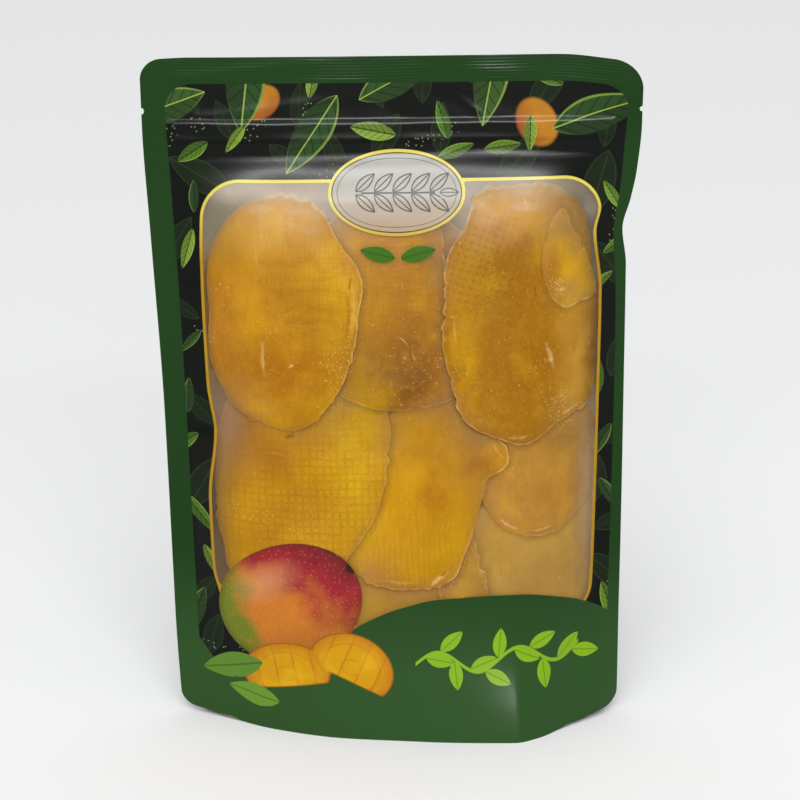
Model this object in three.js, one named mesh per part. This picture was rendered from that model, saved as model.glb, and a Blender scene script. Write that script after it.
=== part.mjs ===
import * as THREE from 'three';
import { mergeVertices } from 'three/addons/utils/BufferGeometryUtils.js';

// A filled stand-up pouch of dried mango slices, standing on its opened bottom gusset.
// Millimetres. x runs to the right, the window faces -y, z is up, and the origin lies
// on the floor under the middle of the pouch.

// Driving dimensions of the pouch
const POUCH_WIDTH = 200;
const POUCH_HEIGHT = 278;
const BASE_DEPTH = 80;
const SIDE_SEAL = 9;
const SEAL_THICKNESS = 1.2;
const TOP_CORNER_RADIUS = 7.5;
const FOOT_CORNER_RADIUS = 6;

// The zip band lies between these heights, and the pouch bends out to its contents below it
const ZIP_BOTTOM = 245.3;
const ZIP_TOP = 250.9;
const ZIP_RIDGE = 0.9;
const ZIP_SHOULDER = 0.9;
const ZIP_FADE = 3;
const ZIP_GROOVE_SHARE = 0.5;
const BELLY_TOP = 236;

// Half-round tear notches in the edges of the two side seals
const NOTCH_RADIUS = 1.3;
const NOTCH_HEIGHT = 256.4;

// Half widths against height: the filled pouch draws in towards its foot and at the right shoulder
const LEFT_EDGE = [[0, 91.6], [45, 93.2], [133, 94.5], [206, 97.7], [250, 99.8], [278, POUCH_WIDTH / 2]];
const RIGHT_EDGE = [[0, 92.4], [45, 93.2], [133, 94], [192, 94.4], [207, 92.8], [219, 95.9],
  [231, 98.3], [250, POUCH_WIDTH / 2], [278, POUCH_WIDTH / 2]];

// How far the front and the back stand off the seals, against height
const FILM_GAP = SEAL_THICKNESS / 2;
const FRONT_DEPTH = [[0, 38.5], [50, 29], [100, 23.5], [150, 19], [200, 13.2], [220, 8.8],
  [BELLY_TOP, 3.2], [251, 1.4], [267, FILM_GAP], [278, FILM_GAP]];
const BACK_DEPTH = [[0, BASE_DEPTH / 2], [50, 27], [100, 20.5], [150, 16.5], [200, 11.2], [220, 7.6],
  [BELLY_TOP, 3], [251, 1.4], [267, FILM_GAP], [278, FILM_GAP]];

// The front rim of the foot, seen from below: forward reach against x
const FOOT_RIM = [[-91.6, FILM_GAP], [-68.7, 13], [-49.3, 23.9], [-24.2, 32.8], [0, 36.4],
  [25, 39.2], [48, BASE_DEPTH / 2], [58, 35], [69.5, 24.2], [82.8, 11], [92.4, FILM_GAP]];
const FOOT_HEIGHT = 60;

// The bulge between the side seals: squarer higher up, and softer at its edges near the foot
const FOOT_ROUNDNESS = 2.5;
const BODY_ROUNDNESS = 3.4;
const BODY_START = 80;
const FOOT_EASE = 1.5;
const BODY_EASE = 1.15;

// The header bows back at its corners, and the right foot corner comes forward
const HEADER_BOW = { reach: 2, from: 200 };
const FOOT_SWAY = { reach: 4.5, from: 62, to: 92, upTo: 50 };
const FOOT_LIFT = { rise: 3, fromShare: 0.62, upTo: 30 };

// The side seals wave a little along their height
const FIN_WAVE = { reach: 1.6, length: 214, leftStart: 0.6, rightStart: 2.2, from: 30, fullAt: 70 };

// Underside: a narrow rim, a groove behind its seam, and the sagging gusset flat on the floor
const FLOOR_STEP = { inset: 12, share: 0.5, rise: 0 };
const GROOVE_STEP = { inset: 4, share: 0.3, rise: 4 };
const RIM_STEP = { inset: 1.3, share: 0.15, rise: 0 };
const WALL_STEP = { inset: 0, share: 0, rise: 0 };
const FULL_RISE_DEPTH = 24;
const THINNEST_STEPPED = 3;

// The clear window and what shows through it
const WINDOW = { left: -75, right: 82.5, bottom: 46, top: 229, corner: 14 };
const SLICE_ROUNDING = 1.1;
const SLICE_RIM_SHARE = 0.14;
const RELIEF_STEP = 2;
const RELIEF_ROUNDS = 160;
const FILM_PULL = 0.035;
const DEEPEST_RELIEF = -2.2;
const NO_SLICE = -20;

// Each slice: middle, size, lean in degrees, narrowing towards the bottom, and the height of
// its face over the mean film in the middle, with its slopes to the right and upwards
const SLICES = [
  { name: 'left_upper', x: -44.5, z: 176.7, width: 62.5, height: 97, lean: 2, taper: 0.08,
    level: 1.5, slopeX: 0, slopeZ: 0 },
  { name: 'middle_upper', x: -2, z: 181, width: 54, height: 90, lean: 0, taper: 0.04,
    level: -1.4, slopeX: 0, slopeZ: 0 },
  { name: 'right_upper', x: 51.5, z: 174, width: 63, height: 106, lean: -6, taper: 0.05,
    level: 1.5, slopeX: 0, slopeZ: 0 },
  { name: 'left_lower', x: -38.5, z: 109, width: 71, height: 79, lean: 8, taper: 0.1,
    level: -0.8, slopeX: 0.02, slopeZ: -0.05 },
  { name: 'middle_lower', x: 13, z: 103, width: 61, height: 83, lean: 6, taper: 0.18,
    level: 0.2, slopeX: 0.01, slopeZ: -0.02 },
  { name: 'right_middle', x: 57, z: 106, width: 44, height: 49, lean: 0, taper: 0.05,
    level: -1.2, slopeX: 0, slopeZ: 0 },
  { name: 'right_lower', x: 58, z: 68, width: 46, height: 46, lean: 0, taper: 0,
    level: -1.8, slopeX: 0, slopeZ: 0 },
  { name: 'middle_foot', x: 27, z: 62, width: 26, height: 46, lean: 10, taper: -0.3,
    level: -1.5, slopeX: 0, slopeZ: 0 },
  { name: 'left_foot', x: 0, z: 52, width: 50, height: 38, lean: 0, taper: 0,
    level: -1.3, slopeX: 0, slopeZ: 0 },
];
const SLICE_SQUARENESS = 2.3;

// Mesh fineness
const FRONT_COLUMNS = 54;
const BACK_COLUMNS = 18;
const FIN_COLUMNS = 2;
const ROW_STEP = 5.5;
const CLOSEST_ROWS = 0.9;
const CORNER_ROWS = [0, 0.1, 0.4, 1];
const NOTCH_ROWS = [-1, -0.6, 0, 0.6, 1];
const MERGE_DISTANCE = 1e-4;

function smooth(t) {
  const c = Math.min(Math.max(t, 0), 1);
  return c * c * (3 - 2 * c);
}

function mix(a, b, t) {
  return a + (b - a) * t;
}

// A smooth curve through [position, value] pairs that never overshoots them
function along(pairs, position) {
  const last = pairs.length - 1;
  const p = Math.min(Math.max(position, pairs[0][0]), pairs[last][0]);
  const slope = (i) => (pairs[i + 1][1] - pairs[i][1]) / (pairs[i + 1][0] - pairs[i][0]);
  const tangent = (i) => {
    if (i === 0) return slope(0);
    if (i === last) return slope(last - 1);
    const before = slope(i - 1);
    const after = slope(i);
    return before * after <= 0 ? 0 : 2 * before * after / (before + after);
  };
  let i = 0;
  while (i < last - 1 && pairs[i + 1][0] <= p) i += 1;
  const span = pairs[i + 1][0] - pairs[i][0];
  const t = (p - pairs[i][0]) / span;
  return (2 * t ** 3 - 3 * t * t + 1) * pairs[i][1]
    + (t ** 3 - 2 * t * t + t) * span * tangent(i)
    + (3 * t * t - 2 * t ** 3) * pairs[i + 1][1]
    + (t ** 3 - t * t) * span * tangent(i + 1);
}

function fullHalfWidth(side, z) {
  return along(side < 0 ? LEFT_EDGE : RIGHT_EDGE, z);
}

// The half width with the rounded corners at the top and at the foot
function halfWidth(side, z) {
  const fromTop = Math.max(TOP_CORNER_RADIUS - (POUCH_HEIGHT - z), 0);
  const fromFoot = Math.max(FOOT_CORNER_RADIUS - z, 0);
  const cutTop = TOP_CORNER_RADIUS - Math.sqrt(TOP_CORNER_RADIUS ** 2 - fromTop ** 2);
  const cutFoot = FOOT_CORNER_RADIUS - Math.sqrt(FOOT_CORNER_RADIUS ** 2 - fromFoot ** 2);
  return fullHalfWidth(side, z) - cutTop - cutFoot;
}

// How deep the notch cuts into the edge at this height
function notchDepth(z) {
  const off = Math.min(Math.abs(z - NOTCH_HEIGHT), NOTCH_RADIUS);
  return Math.sqrt(NOTCH_RADIUS ** 2 - off ** 2);
}

// 1 in the middle of a panel and 0 on the side seals, fuller higher up
function fullness(x, z) {
  const reach = Math.abs(x) / (fullHalfWidth(Math.sign(x) || 1, z) - SIDE_SEAL);
  if (reach >= 1) return 0;
  const roundness = mix(FOOT_ROUNDNESS, BODY_ROUNDNESS, smooth(z / BODY_START));
  const ease = mix(FOOT_EASE, BODY_EASE, smooth(z / FOOT_HEIGHT));
  return (1 - reach ** roundness) ** ease;
}

// Two ridges with a shallow groove between them
function zipRidge(z) {
  const below = smooth((z - ZIP_BOTTOM + ZIP_SHOULDER) / ZIP_SHOULDER);
  const above = smooth((ZIP_TOP + ZIP_SHOULDER - z) / ZIP_SHOULDER);
  const fromMiddle = Math.abs(2 * z - ZIP_BOTTOM - ZIP_TOP) / (ZIP_TOP - ZIP_BOTTOM);
  return ZIP_RIDGE * below * above * (1 - ZIP_GROOVE_SHARE * (1 - smooth(fromMiddle)));
}

// 1 between the side seals, falling to 0 at them
function insideSeals(x, z) {
  const seal = fullHalfWidth(Math.sign(x) || 1, z) - SIDE_SEAL;
  return smooth((seal - Math.abs(x)) / ZIP_FADE);
}

function frontDepth(x, z) {
  const bulge = FILM_GAP + (along(FRONT_DEPTH, z) - FILM_GAP) * fullness(x, z);
  const foot = along(FOOT_RIM, x) * along(FRONT_DEPTH, z) / FRONT_DEPTH[0][1];
  return mix(Math.max(foot, FILM_GAP), bulge, smooth(z / FOOT_HEIGHT)) + zipRidge(z) * insideSeals(x, z);
}

function backDepth(x, z) {
  const bulge = FILM_GAP + (along(BACK_DEPTH, z) - FILM_GAP) * fullness(x, z);
  return bulge + zipRidge(z) * insideSeals(x, z);
}

// The height of one slice's face over the mean film, or NO_SLICE outside its outline
function sliceFace(slice, x, z) {
  const lean = THREE.MathUtils.degToRad(slice.lean);
  const dx = (x - slice.x) * Math.cos(lean) + (z - slice.z) * Math.sin(lean);
  const dz = (z - slice.z) * Math.cos(lean) - (x - slice.x) * Math.sin(lean);
  const up = dz / (slice.height / 2);
  const across = dx / (slice.width / 2 * (1 + slice.taper * up));
  const reach = (Math.abs(across) ** SLICE_SQUARENESS + Math.abs(up) ** SLICE_SQUARENESS)
    ** (1 / SLICE_SQUARENESS);
  if (reach >= 1) return NO_SLICE;
  const rounding = SLICE_ROUNDING * smooth((reach - 1 + SLICE_RIM_SHARE) / SLICE_RIM_SHARE);
  return slice.level + slice.slopeX * dx + slice.slopeZ * dz - rounding;
}

function insideWindow(x, z) {
  const midX = (WINDOW.left + WINDOW.right) / 2;
  const midZ = (WINDOW.bottom + WINDOW.top) / 2;
  const overX = Math.max(Math.abs(x - midX) - (WINDOW.right - WINDOW.left) / 2 + WINDOW.corner, 0);
  const overZ = Math.max(Math.abs(z - midZ) - (WINDOW.top - WINDOW.bottom) / 2 + WINDOW.corner, 0);
  return Math.hypot(overX, overZ) < WINDOW.corner;
}

// The window film, pulled taut over the slices: no lower than their faces, and elsewhere
// the mean of its neighbours, drawn in a little
function drapeFilm() {
  const columns = Math.ceil((WINDOW.right - WINDOW.left) / RELIEF_STEP) + 1;
  const rows = Math.ceil((WINDOW.top - WINDOW.bottom) / RELIEF_STEP) + 1;
  const height = new Float64Array(columns * rows);
  const support = new Float64Array(columns * rows);
  for (let r = 0; r < rows; r += 1) {
    for (let c = 0; c < columns; c += 1) {
      const x = WINDOW.left + c * RELIEF_STEP;
      const z = WINDOW.bottom + r * RELIEF_STEP;
      const faces = SLICES.map((slice) => sliceFace(slice, x, z));
      support[r * columns + c] = insideWindow(x, z) ? Math.max(...faces, DEEPEST_RELIEF) : 0;
    }
  }
  for (let round = 0; round < RELIEF_ROUNDS; round += 1) {
    for (let r = 1; r < rows - 1; r += 1) {
      for (let c = 1; c < columns - 1; c += 1) {
        const at = r * columns + c;
        const x = WINDOW.left + c * RELIEF_STEP;
        const z = WINDOW.bottom + r * RELIEF_STEP;
        const mean = (height[at - 1] + height[at + 1] + height[at - columns] + height[at + columns]) / 4;
        height[at] = insideWindow(x, z) ? Math.max(support[at], mean - FILM_PULL) : 0;
      }
    }
  }
  return { columns, rows, height };
}

const drape = drapeFilm();

function filmRelief(x, z) {
  const c = (x - WINDOW.left) / RELIEF_STEP;
  const r = (z - WINDOW.bottom) / RELIEF_STEP;
  if (c < 0 || r < 0 || c >= drape.columns - 1 || r >= drape.rows - 1) return 0;
  const c0 = Math.floor(c);
  const r0 = Math.floor(r);
  const at = r0 * drape.columns + c0;
  const low = mix(drape.height[at], drape.height[at + 1], c - c0);
  const high = mix(drape.height[at + drape.columns], drape.height[at + drape.columns + 1], c - c0);
  return mix(low, high, r - r0);
}

// How far the front and the back shift together along y
function sway(x, z) {
  const out = x / (POUCH_WIDTH / 2);
  const phase = 2 * Math.PI * z / FIN_WAVE.length + (x < 0 ? FIN_WAVE.leftStart : FIN_WAVE.rightStart);
  const finRise = smooth((z - FIN_WAVE.from) / (FIN_WAVE.fullAt - FIN_WAVE.from));
  const headerRise = smooth((z - HEADER_BOW.from) / (POUCH_HEIGHT - HEADER_BOW.from));
  const footShare = smooth((x - FOOT_SWAY.from) / (FOOT_SWAY.to - FOOT_SWAY.from));
  const foot = -FOOT_SWAY.reach * footShare * (1 - smooth(z / FOOT_SWAY.upTo));
  const fins = FIN_WAVE.reach * Math.sin(phase) * out ** 4 * finRise;
  return fins + HEADER_BOW.reach * out * out * headerRise + foot;
}

// The corners of the foot stand a little off the floor
function footLift(x, z) {
  const out = Math.abs(x) / fullHalfWidth(Math.sign(x) || 1, z);
  const share = smooth((out - FOOT_LIFT.fromShare) / (1 - FOOT_LIFT.fromShare));
  return FOOT_LIFT.rise * share * (1 - smooth(z / FOOT_LIFT.upTo));
}

// Heights of the rows of the mesh, closer together at the corners, the zip and the notches
function rowHeights() {
  const footCorner = CORNER_ROWS.map((share) => FOOT_CORNER_RADIUS * share);
  const topCorner = CORNER_ROWS.map((share) => POUCH_HEIGHT - TOP_CORNER_RADIUS * share);
  const notch = NOTCH_ROWS.map((share) => NOTCH_HEIGHT + NOTCH_RADIUS * share);
  const special = [...footCorner, ZIP_BOTTOM - ZIP_SHOULDER, ZIP_BOTTOM, (ZIP_BOTTOM + ZIP_TOP) / 2,
    ZIP_TOP, ZIP_TOP + ZIP_SHOULDER, ...notch, ...topCorner];
  const rows = [...special];
  for (let z = FOOT_CORNER_RADIUS; z < POUCH_HEIGHT; z += ROW_STEP) {
    const nearest = Math.min(...special.map((s) => Math.abs(s - z)));
    if (nearest > ROW_STEP / 2 || (nearest > CLOSEST_ROWS && z > ZIP_TOP + ROW_STEP)) rows.push(z);
  }
  return rows.sort((a, b) => a - b);
}

// Fractions across a panel: -1 and 1 are the outer edges of the side seals
function columnFractions(columns) {
  const seal = 1 - SIDE_SEAL / (POUCH_WIDTH / 2);
  const fractions = [];
  for (let i = 0; i < FIN_COLUMNS; i += 1) fractions.push(-1 + (1 - seal) * i / FIN_COLUMNS);
  const inner = columns - 2 * FIN_COLUMNS;
  for (let i = 0; i <= inner; i += 1) fractions.push(seal * (2 * i / inner - 1));
  for (let i = 1; i <= FIN_COLUMNS; i += 1) fractions.push(seal + (1 - seal) * i / FIN_COLUMNS);
  return fractions;
}

// One closed ring of points: the front from left to right, then the back from right to left.
// On the underside a step moves it inwards, by its inset or at most its share of the depth,
// and lifts it. Where the pouch is thin, beside its seals, the underside has no steps.
function ring(z, step) {
  const points = [];
  const addPoint = (fraction, side) => {
    const notch = Math.abs(fraction) === 1 ? Math.sign(fraction) * notchDepth(z) : 0;
    const x = fraction * halfWidth(Math.sign(fraction) || 1, z) - notch;
    const depth = side < 0 ? frontDepth(x, z) + filmRelief(x, z) : backDepth(x, z);
    const stepped = depth > THINNEST_STEPPED && insideSeals(x, z) > 0;
    const inset = stepped ? Math.min(step.inset, step.share * depth) : 0;
    const rise = stepped ? step.rise * Math.min(depth / FULL_RISE_DEPTH, 1) : 0;
    points.push(new THREE.Vector3(x, side * (depth - inset) + sway(x, z), z + footLift(x, z) + rise));
  };
  columnFractions(FRONT_COLUMNS).forEach((fraction) => addPoint(fraction, -1));
  columnFractions(BACK_COLUMNS).reverse().forEach((fraction) => addPoint(fraction, 1));
  return points;
}

// Triangles that close the slot between the front and the back of one ring
function slotTriangles(points, start, faceUp) {
  const front = Array.from({ length: FRONT_COLUMNS + 1 }, (_, i) => i);
  const back = Array.from({ length: BACK_COLUMNS + 1 }, (_, i) => points.length - 1 - i);
  const triangles = [];
  const add = (a, b, c) => {
    triangles.push(...(faceUp ? [start + a, start + b, start + c] : [start + a, start + c, start + b]));
  };
  let f = 0;
  let b = 0;
  while (f < FRONT_COLUMNS || b < BACK_COLUMNS) {
    const frontNext = f < FRONT_COLUMNS ? points[front[f + 1]].x : Infinity;
    const backNext = b < BACK_COLUMNS ? points[back[b + 1]].x : Infinity;
    if (frontNext <= backNext) {
      add(front[f], front[f + 1], back[b]);
      f += 1;
    } else {
      add(back[b], front[f], back[b + 1]);
      b += 1;
    }
  }
  return triangles;
}

// Joins points that coincide, and drops the faces that this collapses
function withoutCollapsedFaces(geometry) {
  const merged = mergeVertices(geometry, MERGE_DISTANCE);
  const corners = Array.from(merged.index.array);
  const kept = [];
  for (let i = 0; i < corners.length; i += 3) {
    const [a, b, c] = corners.slice(i, i + 3);
    if (a !== b && b !== c && c !== a) kept.push(a, b, c);
  }
  merged.setIndex(kept);
  merged.computeVertexNormals();
  return merged;
}

function pouchGeometry() {
  const underside = [FLOOR_STEP, GROOVE_STEP, RIM_STEP].map((step) => ring(0, step));
  const walls = rowHeights().map((z) => ring(z, WALL_STEP));
  const rings = [...underside, ...walls];
  const size = rings[0].length;
  const index = [];
  for (let r = 0; r < rings.length - 1; r += 1) {
    for (let i = 0; i < size; i += 1) {
      const a = r * size + i;
      const b = r * size + (i + 1) % size;
      index.push(a, b, b + size, a, b + size, a + size);
    }
  }
  index.push(...slotTriangles(rings[0], 0, false));
  index.push(...slotTriangles(rings[rings.length - 1], (rings.length - 1) * size, true));
  const geometry = new THREE.BufferGeometry();
  geometry.setAttribute('position', new THREE.Float32BufferAttribute(
    rings.flat().flatMap((p) => [p.x, p.y, p.z]), 3));
  geometry.setIndex(index);
  return withoutCollapsedFaces(geometry);
}

const printedFilm = new THREE.MeshStandardMaterial({ color: 0x24451d, roughness: 0.5, metalness: 0 });
const pouch = new THREE.Mesh(pouchGeometry(), printedFilm);
pouch.name = 'pouch';

const group = new THREE.Group();
group.add(pouch);

export default group;
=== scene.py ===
import math

import bpy
import numpy as np
from mathutils import Matrix, Vector


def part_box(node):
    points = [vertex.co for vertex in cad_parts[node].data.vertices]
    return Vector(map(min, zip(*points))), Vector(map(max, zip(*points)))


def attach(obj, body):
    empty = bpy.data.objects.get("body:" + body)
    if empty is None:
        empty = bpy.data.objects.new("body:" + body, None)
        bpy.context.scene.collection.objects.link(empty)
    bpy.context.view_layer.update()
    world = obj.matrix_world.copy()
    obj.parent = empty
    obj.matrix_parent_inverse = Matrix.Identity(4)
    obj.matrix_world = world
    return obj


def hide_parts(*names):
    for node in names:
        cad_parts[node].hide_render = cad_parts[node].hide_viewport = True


# A filled stand-up pouch of dried mango slices: printed laminate film round a clear window,
# with every slice a piece of its own behind it. Sizes are in millimetres, and MM turns them
# into the frame's metres. The window faces -y, x runs to the right and z is up.

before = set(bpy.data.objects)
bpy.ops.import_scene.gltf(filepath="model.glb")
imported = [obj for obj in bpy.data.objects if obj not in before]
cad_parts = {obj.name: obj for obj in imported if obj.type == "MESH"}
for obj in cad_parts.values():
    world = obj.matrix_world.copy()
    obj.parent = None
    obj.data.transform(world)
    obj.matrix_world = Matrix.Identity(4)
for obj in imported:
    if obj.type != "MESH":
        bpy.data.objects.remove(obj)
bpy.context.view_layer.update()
MM = 0.001

# The pouch, as the frame gives it
pouch_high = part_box("pouch")[1]
POUCH_HEIGHT = pouch_high.z / MM
HALF_WIDTH = pouch_high.x / MM
HALF_DEPTH = pouch_high.y / MM
SIDE_SEAL = 9.0
FILM_THICKNESS = 0.15
FILM_GAP = FILM_THICKNESS + 0.01
TOP_SEAL = 10.5
CRIMP_PITCH, CRIMP_DEPTH, CRIMP_FADE = 1.25, 0.12, 0.6
TOP_CORNER_RADIUS_LEFT, TOP_CORNER_RADIUS_RIGHT = 8.5, 12.0
FOOT_CORNER_RADIUS = 6.0
NOTCH_RADIUS = 1.3
NOTCH_HEIGHT = 256.4
ZIP_BOTTOM, ZIP_TOP = 245.3, 250.9
ZIP_RIDGE, ZIP_SHOULDER, ZIP_HOLLOW, ZIP_FADE = 0.8, 2.2, 0.15, 3.0
WELD_RISE, WELD_HALF_WIDTH = 0.03, 0.9
BELLY_TOP = 236.0

# Half widths against height
LEFT_EDGE = [[0, 91.6], [45, 93.2], [133, 94.5], [206, 97.7], [250, 99.8], [POUCH_HEIGHT, HALF_WIDTH]]
RIGHT_EDGE = [[0, 92.4], [45, 93.2], [133, 94], [192, 94.4], [207, 92.8], [219, 95.9],
              [231, 98.3], [250, HALF_WIDTH], [POUCH_HEIGHT, HALF_WIDTH]]

# How far the front and the back stand off the seals, against height
FRONT_DEPTH = [[0, 38.5], [50, 29], [100, 23.5], [150, 19], [200, 13.2], [220, 8.8],
               [BELLY_TOP, 3.2], [251, 1.4], [267, FILM_GAP], [POUCH_HEIGHT, FILM_GAP]]
BACK_DEPTH = [[0, HALF_DEPTH], [50, 27], [100, 20.5], [150, 16.5], [200, 11.2], [220, 7.6],
              [BELLY_TOP, 3], [251, 1.4], [267, FILM_GAP], [POUCH_HEIGHT, FILM_GAP]]

# The front rim of the foot, seen from below: forward reach against x
FOOT_RIM = [[-91.6, FILM_GAP], [-68.7, 13], [-49.3, 23.9], [-24.2, 32.8], [0, 36.4],
            [25, 39.2], [48, HALF_DEPTH], [58, 35], [69.5, 24.2], [82.8, 11], [92.4, FILM_GAP]]
FOOT_HEIGHT = 60.0

# How full the cross-section is, at the foot and above it
ROUNDNESS_AT_FOOT, ROUNDNESS_ABOVE, ROUND_FROM = 2.5, 3.4, 80.0
EASE_AT_FOOT, EASE_ABOVE = 1.5, 1.15

# How far the film strays from its middle plane: the side seals' waves, the header's lean, and the
# right side's turn at the foot and at the top corner
FIN_SWAY, FIN_WAVE, FIN_PHASE_LEFT, FIN_PHASE_RIGHT = 1.6, 214.0, 0.6, 2.2
HEADER_LEAN, HEADER_FROM = 2.0, 200.0
FOOT_TURN, CORNER_TURN, TURN_FROM = -4.5, -5.0, 62.0

# How far the foot rises at both ends, and how far the top corners droop
FOOT_RISE, RIGHT_DROOP, LEFT_DROOP = 3.0, 2.2, 0.7

# Height and length of the film's waves, on the belly, beside the seals and in the header
BELLY_WAVE, PUCKER, HEADER_WAVE = (0.32, 34.0), (0.26, 11.0), (0.14, 24.0)


def smooth(t):
    t = np.clip(t, 0.0, 1.0)
    return t * t * (3.0 - 2.0 * t)


def ramp(value, start, end):
    """Rises smoothly from 0 at its start to 1 at its end."""
    return smooth((value - start) / (end - start))


def mix(a, b, t):
    return a + (b - a) * t


def table(names, rows):
    """A list of like things: the names of their values once, and a row of values for each."""
    return [dict(zip(names.split(), row)) for row in rows]


def along(pairs, position):
    """A smooth curve through [position, value] pairs that never overshoots them."""
    knots = np.array(pairs, float)
    spans = np.diff(knots[:, 0])
    slopes = np.diff(knots[:, 1]) / spans
    before, after = slopes[:-1], slopes[1:]
    same_way = before * after > 0
    middle = np.where(same_way, 2 * before * after / np.where(same_way, before + after, 1.0), 0.0)
    tangents = np.concatenate([slopes[:1], middle, slopes[-1:]])
    p = np.clip(position, knots[0, 0], knots[-1, 0])
    i = np.clip(np.searchsorted(knots[:, 0], p, side="right") - 1, 0, len(spans) - 1)
    t = (p - knots[i, 0]) / spans[i]
    return ((2 * t ** 3 - 3 * t * t + 1) * knots[i, 1]
            + (t ** 3 - 2 * t * t + t) * spans[i] * tangents[i]
            + (3 * t * t - 2 * t ** 3) * knots[i + 1, 1]
            + (t ** 3 - t * t) * spans[i] * tangents[i + 1])


RIPPLE_WAVES = 7


def ripple(x, z, wavelength, seed):
    """Soft uneven waves of about one wavelength, between about -1 and 1."""
    draw = np.random.default_rng(seed)
    total = np.zeros(np.broadcast(x, z).shape)
    for _ in range(RIPPLE_WAVES):
        angle, phase = draw.uniform(0, 2 * math.pi, 2)
        length = wavelength * draw.uniform(0.7, 1.5)
        total += np.sin(2 * math.pi * (x * math.cos(angle) + z * math.sin(angle)) / length + phase)
    return total / math.sqrt(2.0 * RIPPLE_WAVES)


# The surface of the pouch


def full_half_width(x, z):
    return np.where(x < 0, along(LEFT_EDGE, z), along(RIGHT_EDGE, z))


def half_width(x, z):
    top_radius = np.where(x < 0, TOP_CORNER_RADIUS_LEFT, TOP_CORNER_RADIUS_RIGHT)
    from_top = np.maximum(top_radius - (POUCH_HEIGHT - z), 0.0)
    from_foot = np.maximum(FOOT_CORNER_RADIUS - z, 0.0)
    cut_top = top_radius - np.sqrt(top_radius ** 2 - from_top ** 2)
    cut_foot = FOOT_CORNER_RADIUS - np.sqrt(FOOT_CORNER_RADIUS ** 2 - from_foot ** 2)
    return full_half_width(x, z) - cut_top - cut_foot


def notch_depth(z):
    off = np.minimum(np.abs(z - NOTCH_HEIGHT), NOTCH_RADIUS)
    return np.sqrt(NOTCH_RADIUS ** 2 - off ** 2)


def from_seal(x, z):
    """Distance inwards from the inner edge of the side seal."""
    return full_half_width(x, z) - SIDE_SEAL - np.abs(x)


def fullness(x, z):
    reach = np.clip(np.abs(x) / (full_half_width(x, z) - SIDE_SEAL), 0.0, 1.0)
    roundness = mix(ROUNDNESS_AT_FOOT, ROUNDNESS_ABOVE, smooth(z / ROUND_FROM))
    ease = mix(EASE_AT_FOOT, EASE_ABOVE, smooth(z / FOOT_HEIGHT))
    return (1.0 - reach ** roundness) ** ease


def zip_ridge(x, z):
    below = smooth((z - ZIP_BOTTOM + ZIP_SHOULDER) / ZIP_SHOULDER)
    # Above the zip the film bends over a round shoulder and meets the panel at a crisp foot
    above = 1 - np.clip((z - ZIP_TOP) / ZIP_SHOULDER, 0.0, 1.0) ** 2
    from_middle = np.abs(2 * z - ZIP_BOTTOM - ZIP_TOP) / (ZIP_TOP - ZIP_BOTTOM)
    profile = below * above * (1 - ZIP_HOLLOW * (1 - smooth(from_middle)))
    welds = sum(np.exp(-((z - weld) / WELD_HALF_WIDTH) ** 2) for weld in (ZIP_BOTTOM, ZIP_TOP))
    return (ZIP_RIDGE * profile + WELD_RISE * welds) * smooth(from_seal(x, z) / ZIP_FADE)


def front_depth(x, z):
    bulge = FILM_GAP + (along(FRONT_DEPTH, z) - FILM_GAP) * fullness(x, z)
    foot = along(FOOT_RIM, x) * along(FRONT_DEPTH, z) / FRONT_DEPTH[0][1]
    return mix(np.maximum(foot, FILM_GAP), bulge, smooth(z / FOOT_HEIGHT)) + zip_ridge(x, z)


def back_depth(x, z):
    return FILM_GAP + (along(BACK_DEPTH, z) - FILM_GAP) * fullness(x, z) + zip_ridge(x, z)


def sway(x, z):
    out = x / HALF_WIDTH
    phase = 2 * math.pi * z / FIN_WAVE + np.where(x < 0, FIN_PHASE_LEFT, FIN_PHASE_RIGHT)
    fins = FIN_SWAY * np.sin(phase) * out ** 4 * ramp(z, 30.0, 70.0)
    header = HEADER_LEAN * out * out * ramp(z, HEADER_FROM, POUCH_HEIGHT)
    foot = FOOT_TURN * ramp(x, TURN_FROM, 92.0) * ramp(z, 50.0, 0.0)
    corner = CORNER_TURN * ramp(x, TURN_FROM, 98.0) * ramp(z, 240.0, 278.0)
    return fins + header + foot + corner


def lift(x, z):
    """How far the film's foot rises at both ends, less how far its top corners droop."""
    out = np.abs(x) / full_half_width(x, z)
    foot = FOOT_RISE * ramp(out, 0.62, 1.0) * ramp(z, 30.0, 0.0)
    right = RIGHT_DROOP * ramp(x, 68.0, 98.0) * ramp(z, 250.0, 272.0)
    left = LEFT_DROOP * ramp(x, -80.0, -98.0) * ramp(z, 256.0, 276.0)
    return foot - right - left


# Creases of the film: place, direction in degrees, length, width and height of the fold
FRONT_FOLDS = table("x z angle length width rise", [
    (84, 207, 12, 26, 2.2, -1.1),
    (80, 213, 35, 22, 2.6, 0.6),
    (82, 199, -28, 20, 2.4, 0.5),
    (-78, 127, 4, 22, 2.6, -0.9),
    (-77, 134, 30, 18, 2.4, 0.4),
    (74, 34, 84, 60, 4.2, -0.9),
    (62, 26, 78, 44, 5.0, 0.5),
    (30, 259, -38, 22, 1.3, 0.25),
    (-52, 257, 8, 70, 2.4, 0.3),
    (-20, 239.5, 1, 130, 2.0, -0.35),
    (60, 240, -3, 60, 1.8, -0.4),
    (-62, 18, 62, 40, 5.0, -0.6),
    (-58, 272.5, 6, 66, 3.0, 0.4),
    (34, 272, -3, 50, 2.6, 0.25),
])
BACK_FOLDS = table("x z angle length width rise", [
    (-40, 196, 24, 70, 5.0, -0.9),
    (36, 150, -58, 80, 6.0, -0.8),
    (-30, 96, 66, 70, 6.0, -0.7),
    (70, 204, 20, 34, 3.0, 0.8),
    (-76, 128, 10, 26, 3.0, -0.7),
])


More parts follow.
